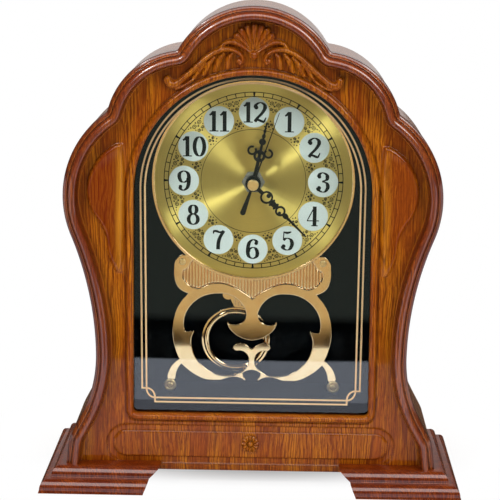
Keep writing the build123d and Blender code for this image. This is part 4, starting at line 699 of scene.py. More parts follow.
def crestHeight(x, z):
    # union of the shell's flutes, the scrolls, the leaf fingers and two balls; also how near the nearest one is
    rise, reach = np.zeros_like(x), np.full_like(x, tones["far"])
    shapes = list(crest["ridges"])
    spread = np.radians(crest["shellSpread"])
    for turn in np.linspace(0, spread, crest["flutes"]):
        rim = crest["shellRim"] * (1 - crest["rimDrop"] * (turn / spread) ** 2)
        ray = rim * np.array([np.sin(turn), np.cos(turn)])
        spots = [crest["shellBase"] + ray * share for share in crest["fluteAt"]]
        shapes.append((spots, crest["fluteWidths"], crest["fluteHeights"]))
    for points, widths, heights in shapes:
        one, far = roundRidge(x, z, points, widths, heights)
        rise, reach = np.maximum(rise, one), np.minimum(reach, far)
    for centre, radius, height in crest["balls"]:
        gap = np.hypot(abs(x) - centre[0], z - centre[1]) / radius
        rise, reach = np.maximum(rise, height * dome(gap)), np.minimum(reach, gap)
    return rise * crest["lift"], reach


def leafHeight(x, z):
    # a long leaf: a blade that falls from an upright ridge near the window to a rounded edge, which fades
    # towards the foot; also its stain, with painted shade in the left leaf's heavier share, and its painted light:
    # a painted highlight along the ridge and a painted shadow outside the edge, which differ from the left leaf
    # to the right one
    outer, ridge = throughPoints(leaf["outer"])[::-1], throughPoints(leaf["ridge"])[::-1]
    low, high = outer[0, 1], outer[-1, 1]
    rise, stainAndShade, paintedLightAndTint = np.zeros((3, *x.shape))
    near = (abs(x) > leaf["from"]) & (z > low - leaf["around"]) & (z < high + leaf["around"])
    left, side, z = x[near] < 0, abs(x[near]), z[near]
    xOuter, xRidge = (np.interp(z, line[:, 1], line[:, 0]) for line in (outer, ridge))
    gap = np.min(np.hypot(side[:, None] - outer[:, 0], z[:, None] - outer[:, 1]), axis=1)
    inside = (side < xOuter) & (z > low) & (z < high)
    step = dome(1 - np.clip(np.where(inside, gap, 0) / leaf["edge"], 0, 1))
    along = np.clip((z - low) / (high - low), 0, 1)
    arched = np.sin(np.pi * along) ** 0.5
    edge = leaf["edgeFoot"] + (leaf["edgeTop"] - leaf["edgeFoot"]) * smoothStep(*leaf["edgeRise"], along)
    crown = edge + (leaf["ridgeHeight"] - edge) * arched
    across = np.clip((side - xRidge) / np.maximum(xOuter - xRidge, 0.1), 0, 1)
    blade = crown + (edge - crown) * across ** leaf["bladeBend"]
    fall = 0.5 + 0.5 * np.cos(np.pi * np.clip((xRidge - side) / leaf["innerFall"], 0, 1))
    rise[near] = step * np.where(side > xRidge, blade, crown * fall)
    # the stain reddens the leaf; the left leaf's heavier share is painted shade
    stainAndShade[near] = np.where(left, *leaf["stainAndShade"]) * step * smoothStep(*leaf["stainFade"], side - xRidge)
    # painted highlight along the ridge, stronger on the left leaf
    gilt = np.where(left, *leaf["gilt"]) * bell(side - xRidge, leaf["ridgeHighlightWidth"]) * arched
    # painted shadow outside the leaf's edge, stronger towards its top
    shadow = leaf["shadow"] * bell(gap, leaf["shadowWidth"]) * smoothStep(*leaf["shadowRise"], along)
    paintedLightAndTint[near] = gilt - np.where(inside, 0, shadow * (side > xRidge))
    return rise, stainAndShade, paintedLightAndTint


def stadiumDepth(x, z):
    # a shallow channel between two stadium outlines, and painted shade lines along its two walls
    s = panel["stadium"]
    gap = np.hypot(np.maximum(abs(x) - (s["half"] - s["radius"]), 0), z - s["z"])
    inner = s["radius"] - s["channel"]
    sunk = -s["depth"] * smoothStep(0, s["wall"], s["radius"] - gap) * smoothStep(inner - s["wall"], inner, gap)
    return sunk, s["line"] * (bell(gap - inner, s["lineReach"]) + bell(gap - s["radius"], s["lineReach"]))


def buildPanel():
    # rays lie closer under the crest; on each the bead has its own steps; height is the higher of bead and carving,
    # with the quirk and the channel sunk below
    p, b = panel, panel["bead"]
    outer = caseLine + caseNormal * p["inset"]
    outer = outer[outer[:, 1] >= outline["bottom"]]
    outer[0, 1] = outer[-1, 1] = outline["bottom"]
    base = outer[-1] + np.linspace(0, 1, p["baseSteps"])[1:-1, None] * (outer[0] - outer[-1])
    fine = np.radians(90 + np.linspace(-p["fineHalf"], p["fineHalf"], p["fineRays"]))
    plain = np.radians(90 + p["fineHalf"] + np.linspace(0, 360 - 2 * p["fineHalf"], p["plainRays"])[1:-1])
    corners = np.array([np.arctan2(*(outer[i] - p["hub"])[::-1]) for i in (0, -1)])
    angles = np.unique(np.r_[fine, plain, corners] % tau)[:, None]
    near, far = radiusAt(angles, windowLine()), radiusAt(angles, np.vstack([outer, base]))
    beadEnd = near + b["end"]
    out = np.hstack([near + np.linspace(0, 1, p["beadSteps"], endpoint=False) * (beadEnd - near),
                     beadEnd + np.linspace(0, 1, p["steps"]) * (far - beadEnd)])
    x, z = out * np.cos(angles), p["hub"][1] + out * np.sin(angles)
    margin = windowMargin(x, z)
    bead = b["height"] * dome(2 * np.clip(margin / b["width"], 0, 1) - 1)
    quirk = -b["quirk"] * bell(margin - b["quirkAt"], b["quirkReach"])
    leafRise, stainAndShade, paintedLightAndTint = leafHeight(x, z)
    crestRise, reach = crestHeight(x, z)
    sunk, line = stadiumDepth(x, z)
    clear = smoothStep(b["clearFrom"], b["clearTo"], margin)
    # painted shade in the hollows round the carvings, a faint painted highlight on their crests
    paintedLightAndTint += np.where(reach > 1, -tones["hollow"] * bell(reach - 1, tones["hollowReach"]),
                     tones["top"] * (1 - 2 * reach**2)) * clear
    # painted shade in the quirk outside the bead
    paintedLightAndTint -= b["shade"] * bell(margin - b["shadeAt"], b["shadeReach"])
    # painted shade along the moulding and on the stadium's walls
    paintedLightAndTint -= tones["rim"] * bell(far - out, tones["rimWidth"]) + line
    height = np.maximum(bead, np.maximum(leafRise, crestRise) * clear) + quirk + sunk
    sheet = backed(np.stack([x, p["y"] - height, z], -1), p["back"])
    piece = makePiece("frame_panel", sheet, gridFaces(*sheet.shape[:2], True, True), finish["panelWood"], "case",
                      ["front_frame"])
    for name, values in (("stainAndShade", stainAndShade), ("paintedLightAndTint", np.clip(paintedLightAndTint, -1, 1))):
        setValues(piece, name, np.hstack([values, np.zeros((len(values), 2))]))
    print("carved panel:", len(piece.data.polygons), "faces")


buildPanel()

# Rosette: a domed boss with petals on a polar grid. Shares are of its radius and of its height.
rosette = {
    "centre": (0, 29.6), "radius": 6.2, "height": 2.1, "petals": 12, "button": 0.3, "ringAt": 0.64, "ringHalf": 0.3,
    "ringHeight": 0.8, "petalLow": 0.45, "petalBend": 0.6, "rimAt": 0.95, "rimHalf": 0.07, "rimHeight": 0.5,
    # hollow and toneFrom set painted shade: darker below that share of the height, faintly lighter above
    "lift": 0.15, "root": -1.5, "hollow": 0.8, "toneFrom": 0.85, "first": 0.02, "rings": 34, "rays": 192,
}


def buildRosette():
    # height falls from a centre button to a ring of petals whose count waves with the angle
    s = rosette
    r = np.linspace(s["first"], 1, s["rings"])[:, None]
    petal = 0.5 + 0.5 * np.cos(s["petals"] * np.linspace(0, tau, s["rays"], endpoint=False))
    petals = s["petalLow"] + (1 - s["petalLow"]) * petal ** s["petalBend"]
    ring = s["ringHeight"] * dome((r - s["ringAt"]) / s["ringHalf"]) * petals
    rim = s["rimHeight"] * dome((r - s["rimAt"]) / s["rimHalf"])
    height = s["height"] * np.maximum(np.maximum(dome(r / s["button"]), ring), rim) + s["lift"]
    height[-1] = s["root"]
    points = turned(s["radius"] * r[:, 0], panel["y"] - height, s["centre"], s["rays"])
    piece = makePiece("rosette", points, cappedFaces(s["rings"], s["rays"]), finish["panelWood"], "case",
                      ["front_frame"])
    # painted shade on the rosette's low parts and a faint painted highlight on its tops
    setValues(piece, "paintedLightAndTint", s["hollow"] * (np.clip(height / s["height"], 0, 1) - s["toneFrom"]))


buildRosette()
print("rosette made")


def ribbon(path, width, closed=False):
    # left and right edges of a flat band along a path in x and z, and whether it closes; width may change along it
    p = np.asarray(path, float)
    side = mitred(p, closed, 0.5) * np.broadcast_to(np.asarray(width, float) / 2, len(p))[:, None]
    return np.stack([p + side, p - side], 1), closed


def flatBands(name, bands, y, thick, material):
    # closed thin solids made of bands: each band has a front and a back edge pair, joined round
    points, faces, start = [], [], 0
    depth = np.array([y - thick, y - thick, y, y])
    for band, closed in bands:
        points.append(atDepth(np.concatenate([band, band[:, ::-1]], axis=1), depth).reshape(-1, 3))
        cells = gridFaces(len(band), 4, True, True).tolist() if closed else cappedFaces(len(band), 4)
        faces += [[start + i for i in cell] for cell in cells]
        start += 4 * len(band)
    makePiece(name, np.vstack(points), faces, material, "case", smooth=False)


# Gold lines printed on the back of the glass, in millimetres: two bands that lace through each other at the lower
# corners.
lines = {"width": 1.12, "outerHalf": 70.0, "innerHalf": 67.2, "archZ": 195.0, "outerBottom": 55.8, "innerBottom": 58.6,
         "cornerZ": 65.0, "cornerX": 61.8, "y": -24.02, "thick": 0.04, "archSteps": 181, "cornerSteps": 24}


def buildLines():
    # each line is an arch and two lower corners: the outer one's corners scoop in, the inner one's bulge out
    s = lines
    t, arch = np.linspace(0, np.pi / 2, s["cornerSteps"]), np.linspace(0, np.pi, s["archSteps"])
    spanX, spanZ = s["innerHalf"] - s["cornerX"], s["cornerZ"] - s["innerBottom"]
    scoop = np.stack([s["innerHalf"] - spanX * np.sin(t), s["innerBottom"] + spanZ * np.cos(t)], -1)
    bulge = arc(spanX, -spanZ, (s["cornerX"], s["cornerZ"]), t)
    outerDown = np.vstack([[-s["outerHalf"], s["cornerZ"]], scoop * flip, [-s["cornerX"], s["outerBottom"]]])
    loops = [np.vstack([arc(s[half], s[half], (0, s["archZ"]), arch), down, (down * flip)[::-1]])
             for half, down in (("outerHalf", outerDown), ("innerHalf", bulge * flip))]
    flatBands("glass_lines", [ribbon(loop, s["width"], True) for loop in loops], s["y"], s["thick"],
              finish["printedGoldLine"])


buildLines()
print("glass lines made")

# Dial, in millimetres: a spun disc on a polar grid with a ring map, then its print. An hour mark has a width at each
# end and reaches past the track by so much inwards and outwards.
dial = {
    "z": 198.0, "radius": 63.4, "hole": 4.7, "front": -7.0, "back": -6.2, "rings": 60, "rays": 256, "ink": 0.05,
    "trackOuter": 56.6, "trackInner": 53.9, "trackLine": 0.52, "tick": 0.55, "hourTick": (0.5, 1.7),
    "hourReach": (0.9, 0.3), "innerCircle": 33.2, "innerLine": 0.32, "discCircle": 44.0, "discFront": -7.4,
}


def buildDial():
    # rings from the hole to the edge, closed at the back; the map has the angle as u and the radius as v
    hole, edge, rays = dial["hole"], dial["radius"], dial["rays"]
    r = np.r_[hole, np.linspace(hole, edge, dial["rings"]), edge]
    y = np.r_[dial["back"], np.full(dial["rings"], dial["front"]), dial["back"]]
    piece = makePiece("dial_face", turned(r, y, (0, dial["z"]), rays), gridFaces(len(r), rays, True, True),
                      finish["spunGoldDial"], "case", ["dial_plate"], sharp=sharpAngle)
    mesh = piece.data
    corner = np.empty(len(mesh.loops), int)
    mesh.loops.foreach_get("vertex_index", corner)
    ray = (corner % rays).reshape(-1, 4)
    lastCell = (ray == rays - 1).any(1)[:, None]      # here the first ray counts as a full turn
    u = np.where(lastCell & (ray == 0), 1.0, ray / rays)
    v = r[corner // rays] / edge
    mesh.uv_layers.new(name="rings").data.foreach_set("uv", np.stack([u.ravel(), v], -1).ravel())


def onDial(radius, angle):
    # point on the dial at a clockwise angle from twelve
    return np.stack([radius * np.sin(angle), dial["z"] + radius * np.cos(angle)], -1)


def buildTrack():
    # two circles with a mark for each minute between them, wedges at the hours, and a circle inside the discs
    turn = np.linspace(0, tau, 360, endpoint=False)
    bands = [ribbon(onDial(dial[circle], turn), dial[line], True) for circle, line in (
        ("trackOuter", "trackLine"), ("trackInner", "trackLine"), ("innerCircle", "innerLine"))]
    for minute in range(60):
        hour = minute % 5 == 0
        inwards, outwards = dial["hourReach"] if hour else (0, 0)
        ends = np.array([dial["trackInner"] - inwards, dial["trackOuter"] + outwards])
        bands.append(ribbon(onDial(ends, np.full(2, minute * tau / 60)), dial["hourTick" if hour else "tick"]))
    flatBands("dial_track", bands, dial["front"], dial["ink"], finish["dialInk"])


# Filigree between the discs, in millimetres: mirrored spirals and dots, drawn once and turned to the twelve gaps. A
# spiral has its place, its size and its sense; a dot has its place and its size.
filigree = {
    "line": 0.42, "turns": 1.6, "steps": 26, "eye": 0.15, "dotSteps": 8, "dotWidth": 0.9,
    "spirals": [(2.3, 50.6, 1.5, 1.0), (1.6, 47.2, 1.1, -1.0), (1.4, 37.6, 1.0, 1.0)],
    "dots": [(0, 52.0, 0.55), (4.3, 51.8, 0.5), (5.9, 52.2, 0.4), (0, 49.4, 0.6), (0, 45.8, 0.5), (3.0, 48.6, 0.4),
             (0, 39.8, 0.5), (0, 36.2, 0.7), (2.6, 35.6, 0.5), (3.4, 37.4, 0.35), (1.2, 34.6, 0.4)],
}


def buildFiligree():
    # a spiral's radius grows evenly with its angle; a dot is a ring as wide as itself
    f, bands = filigree, []
    loop = np.linspace(0, tau, f["dotSteps"], endpoint=False)
    wind = np.linspace(0, f["turns"] * tau, f["steps"])
    for gap in range(12):
        turn = (gap + 0.5) * tau / 12
        spin = np.array([[np.cos(turn), -np.sin(turn)], [np.sin(turn), np.cos(turn)]])
        for sign in (1, -1):
            for x, r, size, sense in f["spirals"]:
                grow = size * (f["eye"] + (1 - f["eye"]) * wind / wind[-1])
                p = arc(grow, grow, (x, r), sense * wind) * (sign, 1)
                bands.append(ribbon(p @ spin + (0, dial["z"]), f["line"]))
            for x, r, size in f["dots"]:
                if sign > 0 or x > 0:
                    p = arc(size / 2, size / 2, (sign * x, r), loop)
                    bands.append(ribbon(p @ spin + (0, dial["z"]), size * f["dotWidth"], True))
    flatBands("dial_filigree", bands, dial["front"], dial["ink"], finish["dialInk"])


# Numerals: pen strokes on a height of 1. Lines, curves and loops are thick where they run upright and thin where they
# run level, bars are thin, a wave swells in its middle and a ball is a round drop. Nine is six turned over.
numerals = {"height": 12.8, "thick": 2.4, "thin": 0.66, "bend": 1.6, "wave": 0.9, "ball": 0.98, "spacing": 0.61,
            "elevenSpacing": 0.86, "ink": 0.06, "loopSteps": 48, "perSpan": 8, "lineSteps": 5}
strokes = {
    "0": [("loop", 0, 0.5, 0.24, 0.47)],
    "1": [("line", (0.02, 1.0), (0.02, 0.0)), ("curve", (-0.2, 0.80), (-0.1, 0.86), (0.0, 0.97)),
          ("bar", (-0.2, 0.02), (0.24, 0.02))],
    "2": [("ball", -0.2, 0.74, 0.05, 0.05),
          ("curve", (-0.25, 0.72), (-0.2, 0.88), (0.0, 0.98), (0.19, 0.88), (0.22, 0.70), (0.08, 0.46), (-0.14, 0.22),
           (-0.26, 0.04)),
          ("wave", (-0.26, 0.05), (-0.12, 0.13), (0.06, 0.07), (0.18, 0.05), (0.28, 0.25))],
    "3": [("ball", -0.18, 0.78, 0.045, 0.045),
          ("curve", (-0.23, 0.76), (-0.16, 0.92), (0.0, 0.98), (0.19, 0.86), (0.18, 0.65), (-0.04, 0.54)),
          ("curve", (-0.04, 0.54), (0.18, 0.46), (0.24, 0.25), (0.12, 0.05), (-0.04, 0.02), (-0.22, 0.12),
           (-0.24, 0.24)),
          ("ball", -0.19, 0.22, 0.05, 0.05)],
    "4": [("line", (0.08, 1.0), (0.08, 0.0)), ("bar", (0.06, 0.97), (-0.28, 0.28)), ("bar", (-0.3, 0.27), (0.3, 0.27)),
          ("bar", (-0.08, 0.02), (0.24, 0.02))],
    "5": [("bar", (-0.17, 0.97), (-0.19, 0.52)), ("wave", (-0.18, 0.93), (0.0, 0.90), (0.2, 0.95)),
          ("curve", (-0.19, 0.52), (-0.04, 0.62), (0.17, 0.55), (0.24, 0.31), (0.13, 0.07), (-0.04, 0.02), (-0.2, 0.11),
           (-0.23, 0.22)),
          ("ball", -0.18, 0.21, 0.05, 0.05)],
    "6": [("ball", 0.17, 0.8, 0.045, 0.045),
          ("curve", (0.22, 0.82), (0.14, 0.94), (0.0, 0.98), (-0.18, 0.82), (-0.25, 0.45), (-0.2, 0.14), (0.0, 0.02),
           (0.19, 0.12), (0.23, 0.31), (0.15, 0.52), (0.0, 0.58), (-0.16, 0.5), (-0.22, 0.38))],
    "7": [("wave", (-0.25, 0.80), (-0.22, 0.93), (-0.08, 0.93), (0.08, 0.88), (0.27, 0.96)),
          ("curve", (0.27, 0.96), (0.08, 0.62), (0.0, 0.34), (-0.02, 0.0))],
    "8": [("loop", 0, 0.76, 0.17, 0.22), ("loop", 0, 0.27, 0.23, 0.26)],
}


def penBands(digit, centre):
    # bands of one digit; the width follows how upright the stroke runs
    n, bands = numerals, []
    for kind, *rest in strokes["6" if digit == "9" else digit]:
        closed = kind in ("ball", "loop")
        if closed:
            x, z, halfX, halfZ = rest
            p = arc(halfX, halfZ, (x, z), np.linspace(0, tau, n["loopSteps"], endpoint=False))
        elif kind in ("curve", "wave"):
            p = throughPoints(rest, n["perSpan"])
        else:
            p = np.linspace(rest[0], rest[1], n["lineSteps"])
        p = (p - (0, 0.5)) * n["height"] * (-1 if digit == "9" else 1)
        step = np.roll(p, -1, axis=0) - np.roll(p, 1, axis=0) if closed else np.gradient(p, axis=0)
        width = n["thin"] + (n["thick"] - n["thin"]) * abs(unit(step)[:, 1]) ** n["bend"]
        if kind == "ball":
            width = 2 * halfX * n["height"] * n["ball"]
        elif kind == "bar":
            width = n["thin"]
        elif kind == "wave":
            width = n["thin"] + n["wave"] * np.sin(np.linspace(0, np.pi, len(p)))
        bands.append(ribbon(p + centre, width, closed))
    return bands


def buildNumerals():
    # each hour's digits side by side on the middle of its disc
    bands = []
    for hour in range(1, 13):
        x, z = onDial(dial["discCircle"], hour * tau / 12)
        text = str(hour)
        gap = numerals["spacing"] * numerals["height"] * (numerals["elevenSpacing"] if hour == 11 else 1)
        for digit, place in zip(text, np.arange(len(text)) - (len(text) - 1) / 2):
            bands += penBands(digit, (x + place * gap, z))
    flatBands("numerals", bands, dial["discFront"], numerals["ink"], finish["dialInk"])


buildDial()
buildTrack()
buildFiligree()
buildNumerals()
print("dial, track, filigree and numerals made")

# Fret plate, in millimetres: the solid's own front outline with a rounded edge carried along it, ribs in the sunk field
# and collars round the lower screws.
fret = {
    "front": -6.2, "back": -3.2, "edge": 0.6, "edgeSteps": 5, "floor": -5.2, "wallFoot": -5.0, "fieldZ": (118.0, 151.0),
    "fieldWidth": 50, "ribPitch": 2.0, "ribRadius": 0.8, "perRib": 12, "ribRows": 22, "ribEnd": 1.0, "ribBack": -4.9,
    "ribMargin": 0.05, "collar": 3.1, "collarTube": 1.0, "collarSteps": 16, "collarRays": 48,
    "bosses": [(53.4, 61.3), (-53.4, 61.3)], "flatNormal": -0.999, "flatGap": 0.02, "same": 1e-6,
}


def frontLoops():
    # closed edge lines of the flat front of the welded plate, as arrays of x and z in millimetres
    work = bmesh.new()
    work.from_mesh(nodes["fret_plate"].data)
    bmesh.ops.remove_doubles(work, verts=work.verts, dist=weldGap)
    flat = [face for face in work.faces if face.normal.y < fret["flatNormal"]
            and abs(face.calc_center_median().y / mm - fret["front"]) < fret["flatGap"]]
    known, follow = set(flat), {}
    for face in flat:
        for corner in face.loops:
            if sum(near in known for near in corner.edge.link_faces) == 1:
                follow[corner.vert.index] = corner.link_loop_next.vert.index
    spots = {v.index: (v.co.x / mm, v.co.z / mm) for v in work.verts}
    work.free()
    loops = []
    while follow:
        start, here = follow.popitem()
        line = [start]
        while here != start:
            line.append(here)
            here = follow.pop(here)
        loops.append(np.array([spots[i] for i in line]))
    return loops


def isField(loop):
    # the edge of the sunk field: the wide loop between two heights
    low, high = fret["fieldZ"]
    return low < loop[:, 1].min() and loop[:, 1].max() < high and np.ptp(loop[:, 0]) > fret["fieldWidth"]


def insideLoops(spots, a, b):
    # a spot is inside where a level line from it crosses the edges from a to b an odd number of times
    x, z = spots[:, :1], spots[:, 1:]
    span = (a[:, 1] > z) != (b[:, 1] > z)
    rise = np.where(abs(b[:, 1] - a[:, 1]) < 1e-12, 1e-12, b[:, 1] - a[:, 1])
    cut = a[:, 0] + (z - a[:, 1]) / rise * (b[:, 0] - a[:, 0])
    return (span & (cut > x)).sum(1) % 2 == 1


def buildFret():
    # the loops keep the metal on one side, so one inward normal serves outline and openings alike; the flats between
    # the rounded edges are triangles
    t = np.linspace(0, np.pi / 2, fret["edgeSteps"])
    inset, drop = fret["edge"] * (1 - np.sin(t)), fret["edge"] * (1 - np.cos(t))
    points, faces, start, frontEdges, backEdges = [], [], 0, [], []
    for loop in frontLoops():
        sunk = isField(loop)
        rings = np.concatenate([loop + mitred(loop, True, 0.6) * inset[:, None, None], loop[None]])
        depth = np.r_[fret["front"] + drop, fret["wallFoot"] if sunk else fret["back"]]
        rows, count = rings.shape[:2]
        points.append(atDepth(rings, depth[:, None]).reshape(-1, 3))
        faces += (gridFaces(rows, count, False, True) + start).tolist()
        frontEdges.append((rings[0], start))
        if not sunk:
            backEdges.append((rings[-1], start + (rows - 1) * count))
        start += rows * count
    rounded = len(faces)
    for edges, y in ((frontEdges, fret["front"]), (backEdges, fret["back"])):
        flat = np.vstack([line for line, first in edges])
        index = np.concatenate([first + np.arange(len(line)) for line, first in edges])
        ends = np.cumsum([0] + [len(line) for line, first in edges])
        joins = [(a + i, a + (i + 1) % (b - a)) for a, b in zip(ends, ends[1:]) for i in range(b - a)]
        made = delaunay_2d_cdt([Vector(v) for v in flat], joins, [], 0, fret["same"])
        spots, cells, sources = np.array([tuple(v) for v in made[0]]), made[2], made[3]
        metal = insideLoops(spots[np.array(cells)].mean(1), *(flat[[join[k] for join in joins]] for k in (0, 1)))
        place = []
        for spot, source in zip(spots, sources):
            if not source:
                points.append([[spot[0], y, spot[1]]])
                start += 1
            place.append(int(index[source[0]]) if source else start - 1)
        print("fret flat:", len(flat), "edge points,", sum(not source for source in sources), "crossings")
        faces += [[place[v] for v in cell] for cell, kept in zip(cells, metal) if kept]
    makePiece("fret_bracket", np.vstack(points), faces, finish["roseGoldPlate"], "case", ["fret_plate"],
              smooth=np.arange(len(faces)) < rounded)


def buildRibs():
    # each column of x runs from the lower to the upper edge of the field; ribs are half-round with rounded ends
    field = next(loop for loop in frontLoops() if isField(loop))
    left, right, pitch = field[:, 0].min(), field[:, 0].max(), fret["ribPitch"]
    x = np.linspace(left + fret["ribMargin"], right - fret["ribMargin"], int((right - left) / pitch * fret["perRib"]))
    a, b = field, np.roll(field, -1, axis=0)
    crossing = (np.minimum(a[:, 0], b[:, 0]) <= x[:, None]) & (np.maximum(a[:, 0], b[:, 0]) > x[:, None])
    run = np.where(abs(b[:, 0] - a[:, 0]) < 1e-9, 1e-9, b[:, 0] - a[:, 0])
    level = a[:, 1] + (x[:, None] - a[:, 0]) / run * (b[:, 1] - a[:, 1])
    lower = np.where(crossing, level, np.inf).min(1)[:, None]
    upper = np.where(crossing, level, -np.inf).max(1)[:, None]
    z = lower + (upper - lower) * (0.5 - 0.5 * np.cos(np.pi * np.linspace(0, 1, fret["ribRows"])))
    offset = (x + pitch / 2) % pitch - pitch / 2
    bulge = np.sqrt(np.clip(fret["ribRadius"] ** 2 - offset**2, 0, None))
    ends = np.clip(np.minimum(z - lower, upper - z) / fret["ribEnd"], 0, 1)
    y = fret["floor"] - bulge[:, None] * dome(1 - ends)
    sheet = backed(np.stack([np.broadcast_to(x[:, None], z.shape), y, z], -1), fret["ribBack"])
    makePiece("fret_ribs", sheet, cappedFaces(*sheet.shape[:2]), finish["roseGoldPlate"], "case",
              ["fret_plate"])


def buildCollars():
    # a low half-round ring about the screw in each foot of the bracket
    steps, rays = fret["collarSteps"], fret["collarRays"]
    t = np.linspace(0, tau, steps, endpoint=False)
    r, y = fret["collar"] + fret["collarTube"] * np.cos(t), fret["front"] + fret["collarTube"] * np.sin(t)
    points = [turned(r, y, boss, rays) for boss in fret["bosses"]]
    faces = np.vstack([gridFaces(steps, rays, True, True) + steps * rays * i for i in range(len(points))])
    makePiece("fret_collars", points, faces, finish["turnedBrass"], "case", ["fret_plate"])


buildFret()
buildRibs()
buildCollars()
print("fret bracket, ribs and collars made")

# Pendulum bob, in millimetres: a tube with a thin fin round it, carried round its own axis at the rest swing.
bob = {"pivot": (0, 165.0), "length": 75.5, "swing": 8.2, "radius": 22.5, "tube": 2.0, "ring": 19.1, "fin": 1.2,
       "mid": 2.9, "finRound": 0.35, "rays": 180, "tubeSteps": 30, "finSteps": 7, "sharp": 50}


def buildBob():
    # section over radius: most of a circle for the tube, then the fin with its edge rounded
    half, edge, swing = bob["fin"] / 2, bob["finRound"], np.radians(bob["swing"])
    seam = np.arcsin(half / bob["tube"])
    tube = arc(bob["tube"], bob["tube"], (bob["ring"], bob["mid"]), np.linspace(seam, tau - seam, bob["tubeSteps"]))
    fin = arc(edge, half, (bob["radius"] - edge, bob["mid"]), np.linspace(-np.pi / 2, np.pi / 2, bob["finSteps"]))
    r, y = np.vstack([tube, fin]).T
    centre = np.array(bob["pivot"]) - bob["length"] * np.array([np.sin(swing), np.cos(swing)])
    makePiece("pendulum_bob_ring", turned(r, y, centre, bob["rays"]), gridFaces(len(r), bob["rays"], True, True),
              finish["roseGoldPlate"], "pendulum", ["pendulum_bob"], sharp=np.radians(bob["sharp"]))


buildBob()
print("pendulum bob made")

# Stage, in metres: a pale floor that fades to white. In mirror images it is a bright table near the clock, then a dark
# band and a dim room, with lit cards at the front sides and dusk behind; metal behind the glass finds the room warmer.
# A range has two values and what they turn into, 0 and 1 where it isn't given. A lift has its strength outside the
# glass and behind it.
throughGlass = (2.5, 3.5)      # light that has passed so many faces of glass comes from behind the window
stage = {
    "reach": 6.0, "floor": "#fbfaf9", "shadeSide": 0.5, "shadeBack": 0.06, "fade": (0.05, 0.098, 0.3, 1.0),
    "tableCurve": 0.35, "tableRange": (0.28, 0.284), "roomRange": (0.39, 0.42), "warmRange": (0.31, 0.37),
    "facing": (0.02, 0.12), "cardStart": (0.45, 0.55), "cardEnd": (0.9, 1.0, 1.0, 0.0), "tableLift": (0.75, 0.35),
    "cardLift": (0.2, 0.4), "table": "#e6edff", "band": "#0b0b0b", "room": "#78827a", "warmBand": "#54442f",
    "warmRoom": "#e4c998", "dusk": "#3a3029", "white": "#ffffff",
}


def stageSheet(name, corners, material):
    # a flat four-cornered sheet with its material, linked into the scene
    mesh = bpy.data.meshes.new(name)
    mesh.from_pydata(corners, [], [(0, 1, 2, 3)])
    mesh.materials.append(material)
    sheet = bpy.data.objects.new(name, mesh)
    scene.collection.objects.link(sheet)


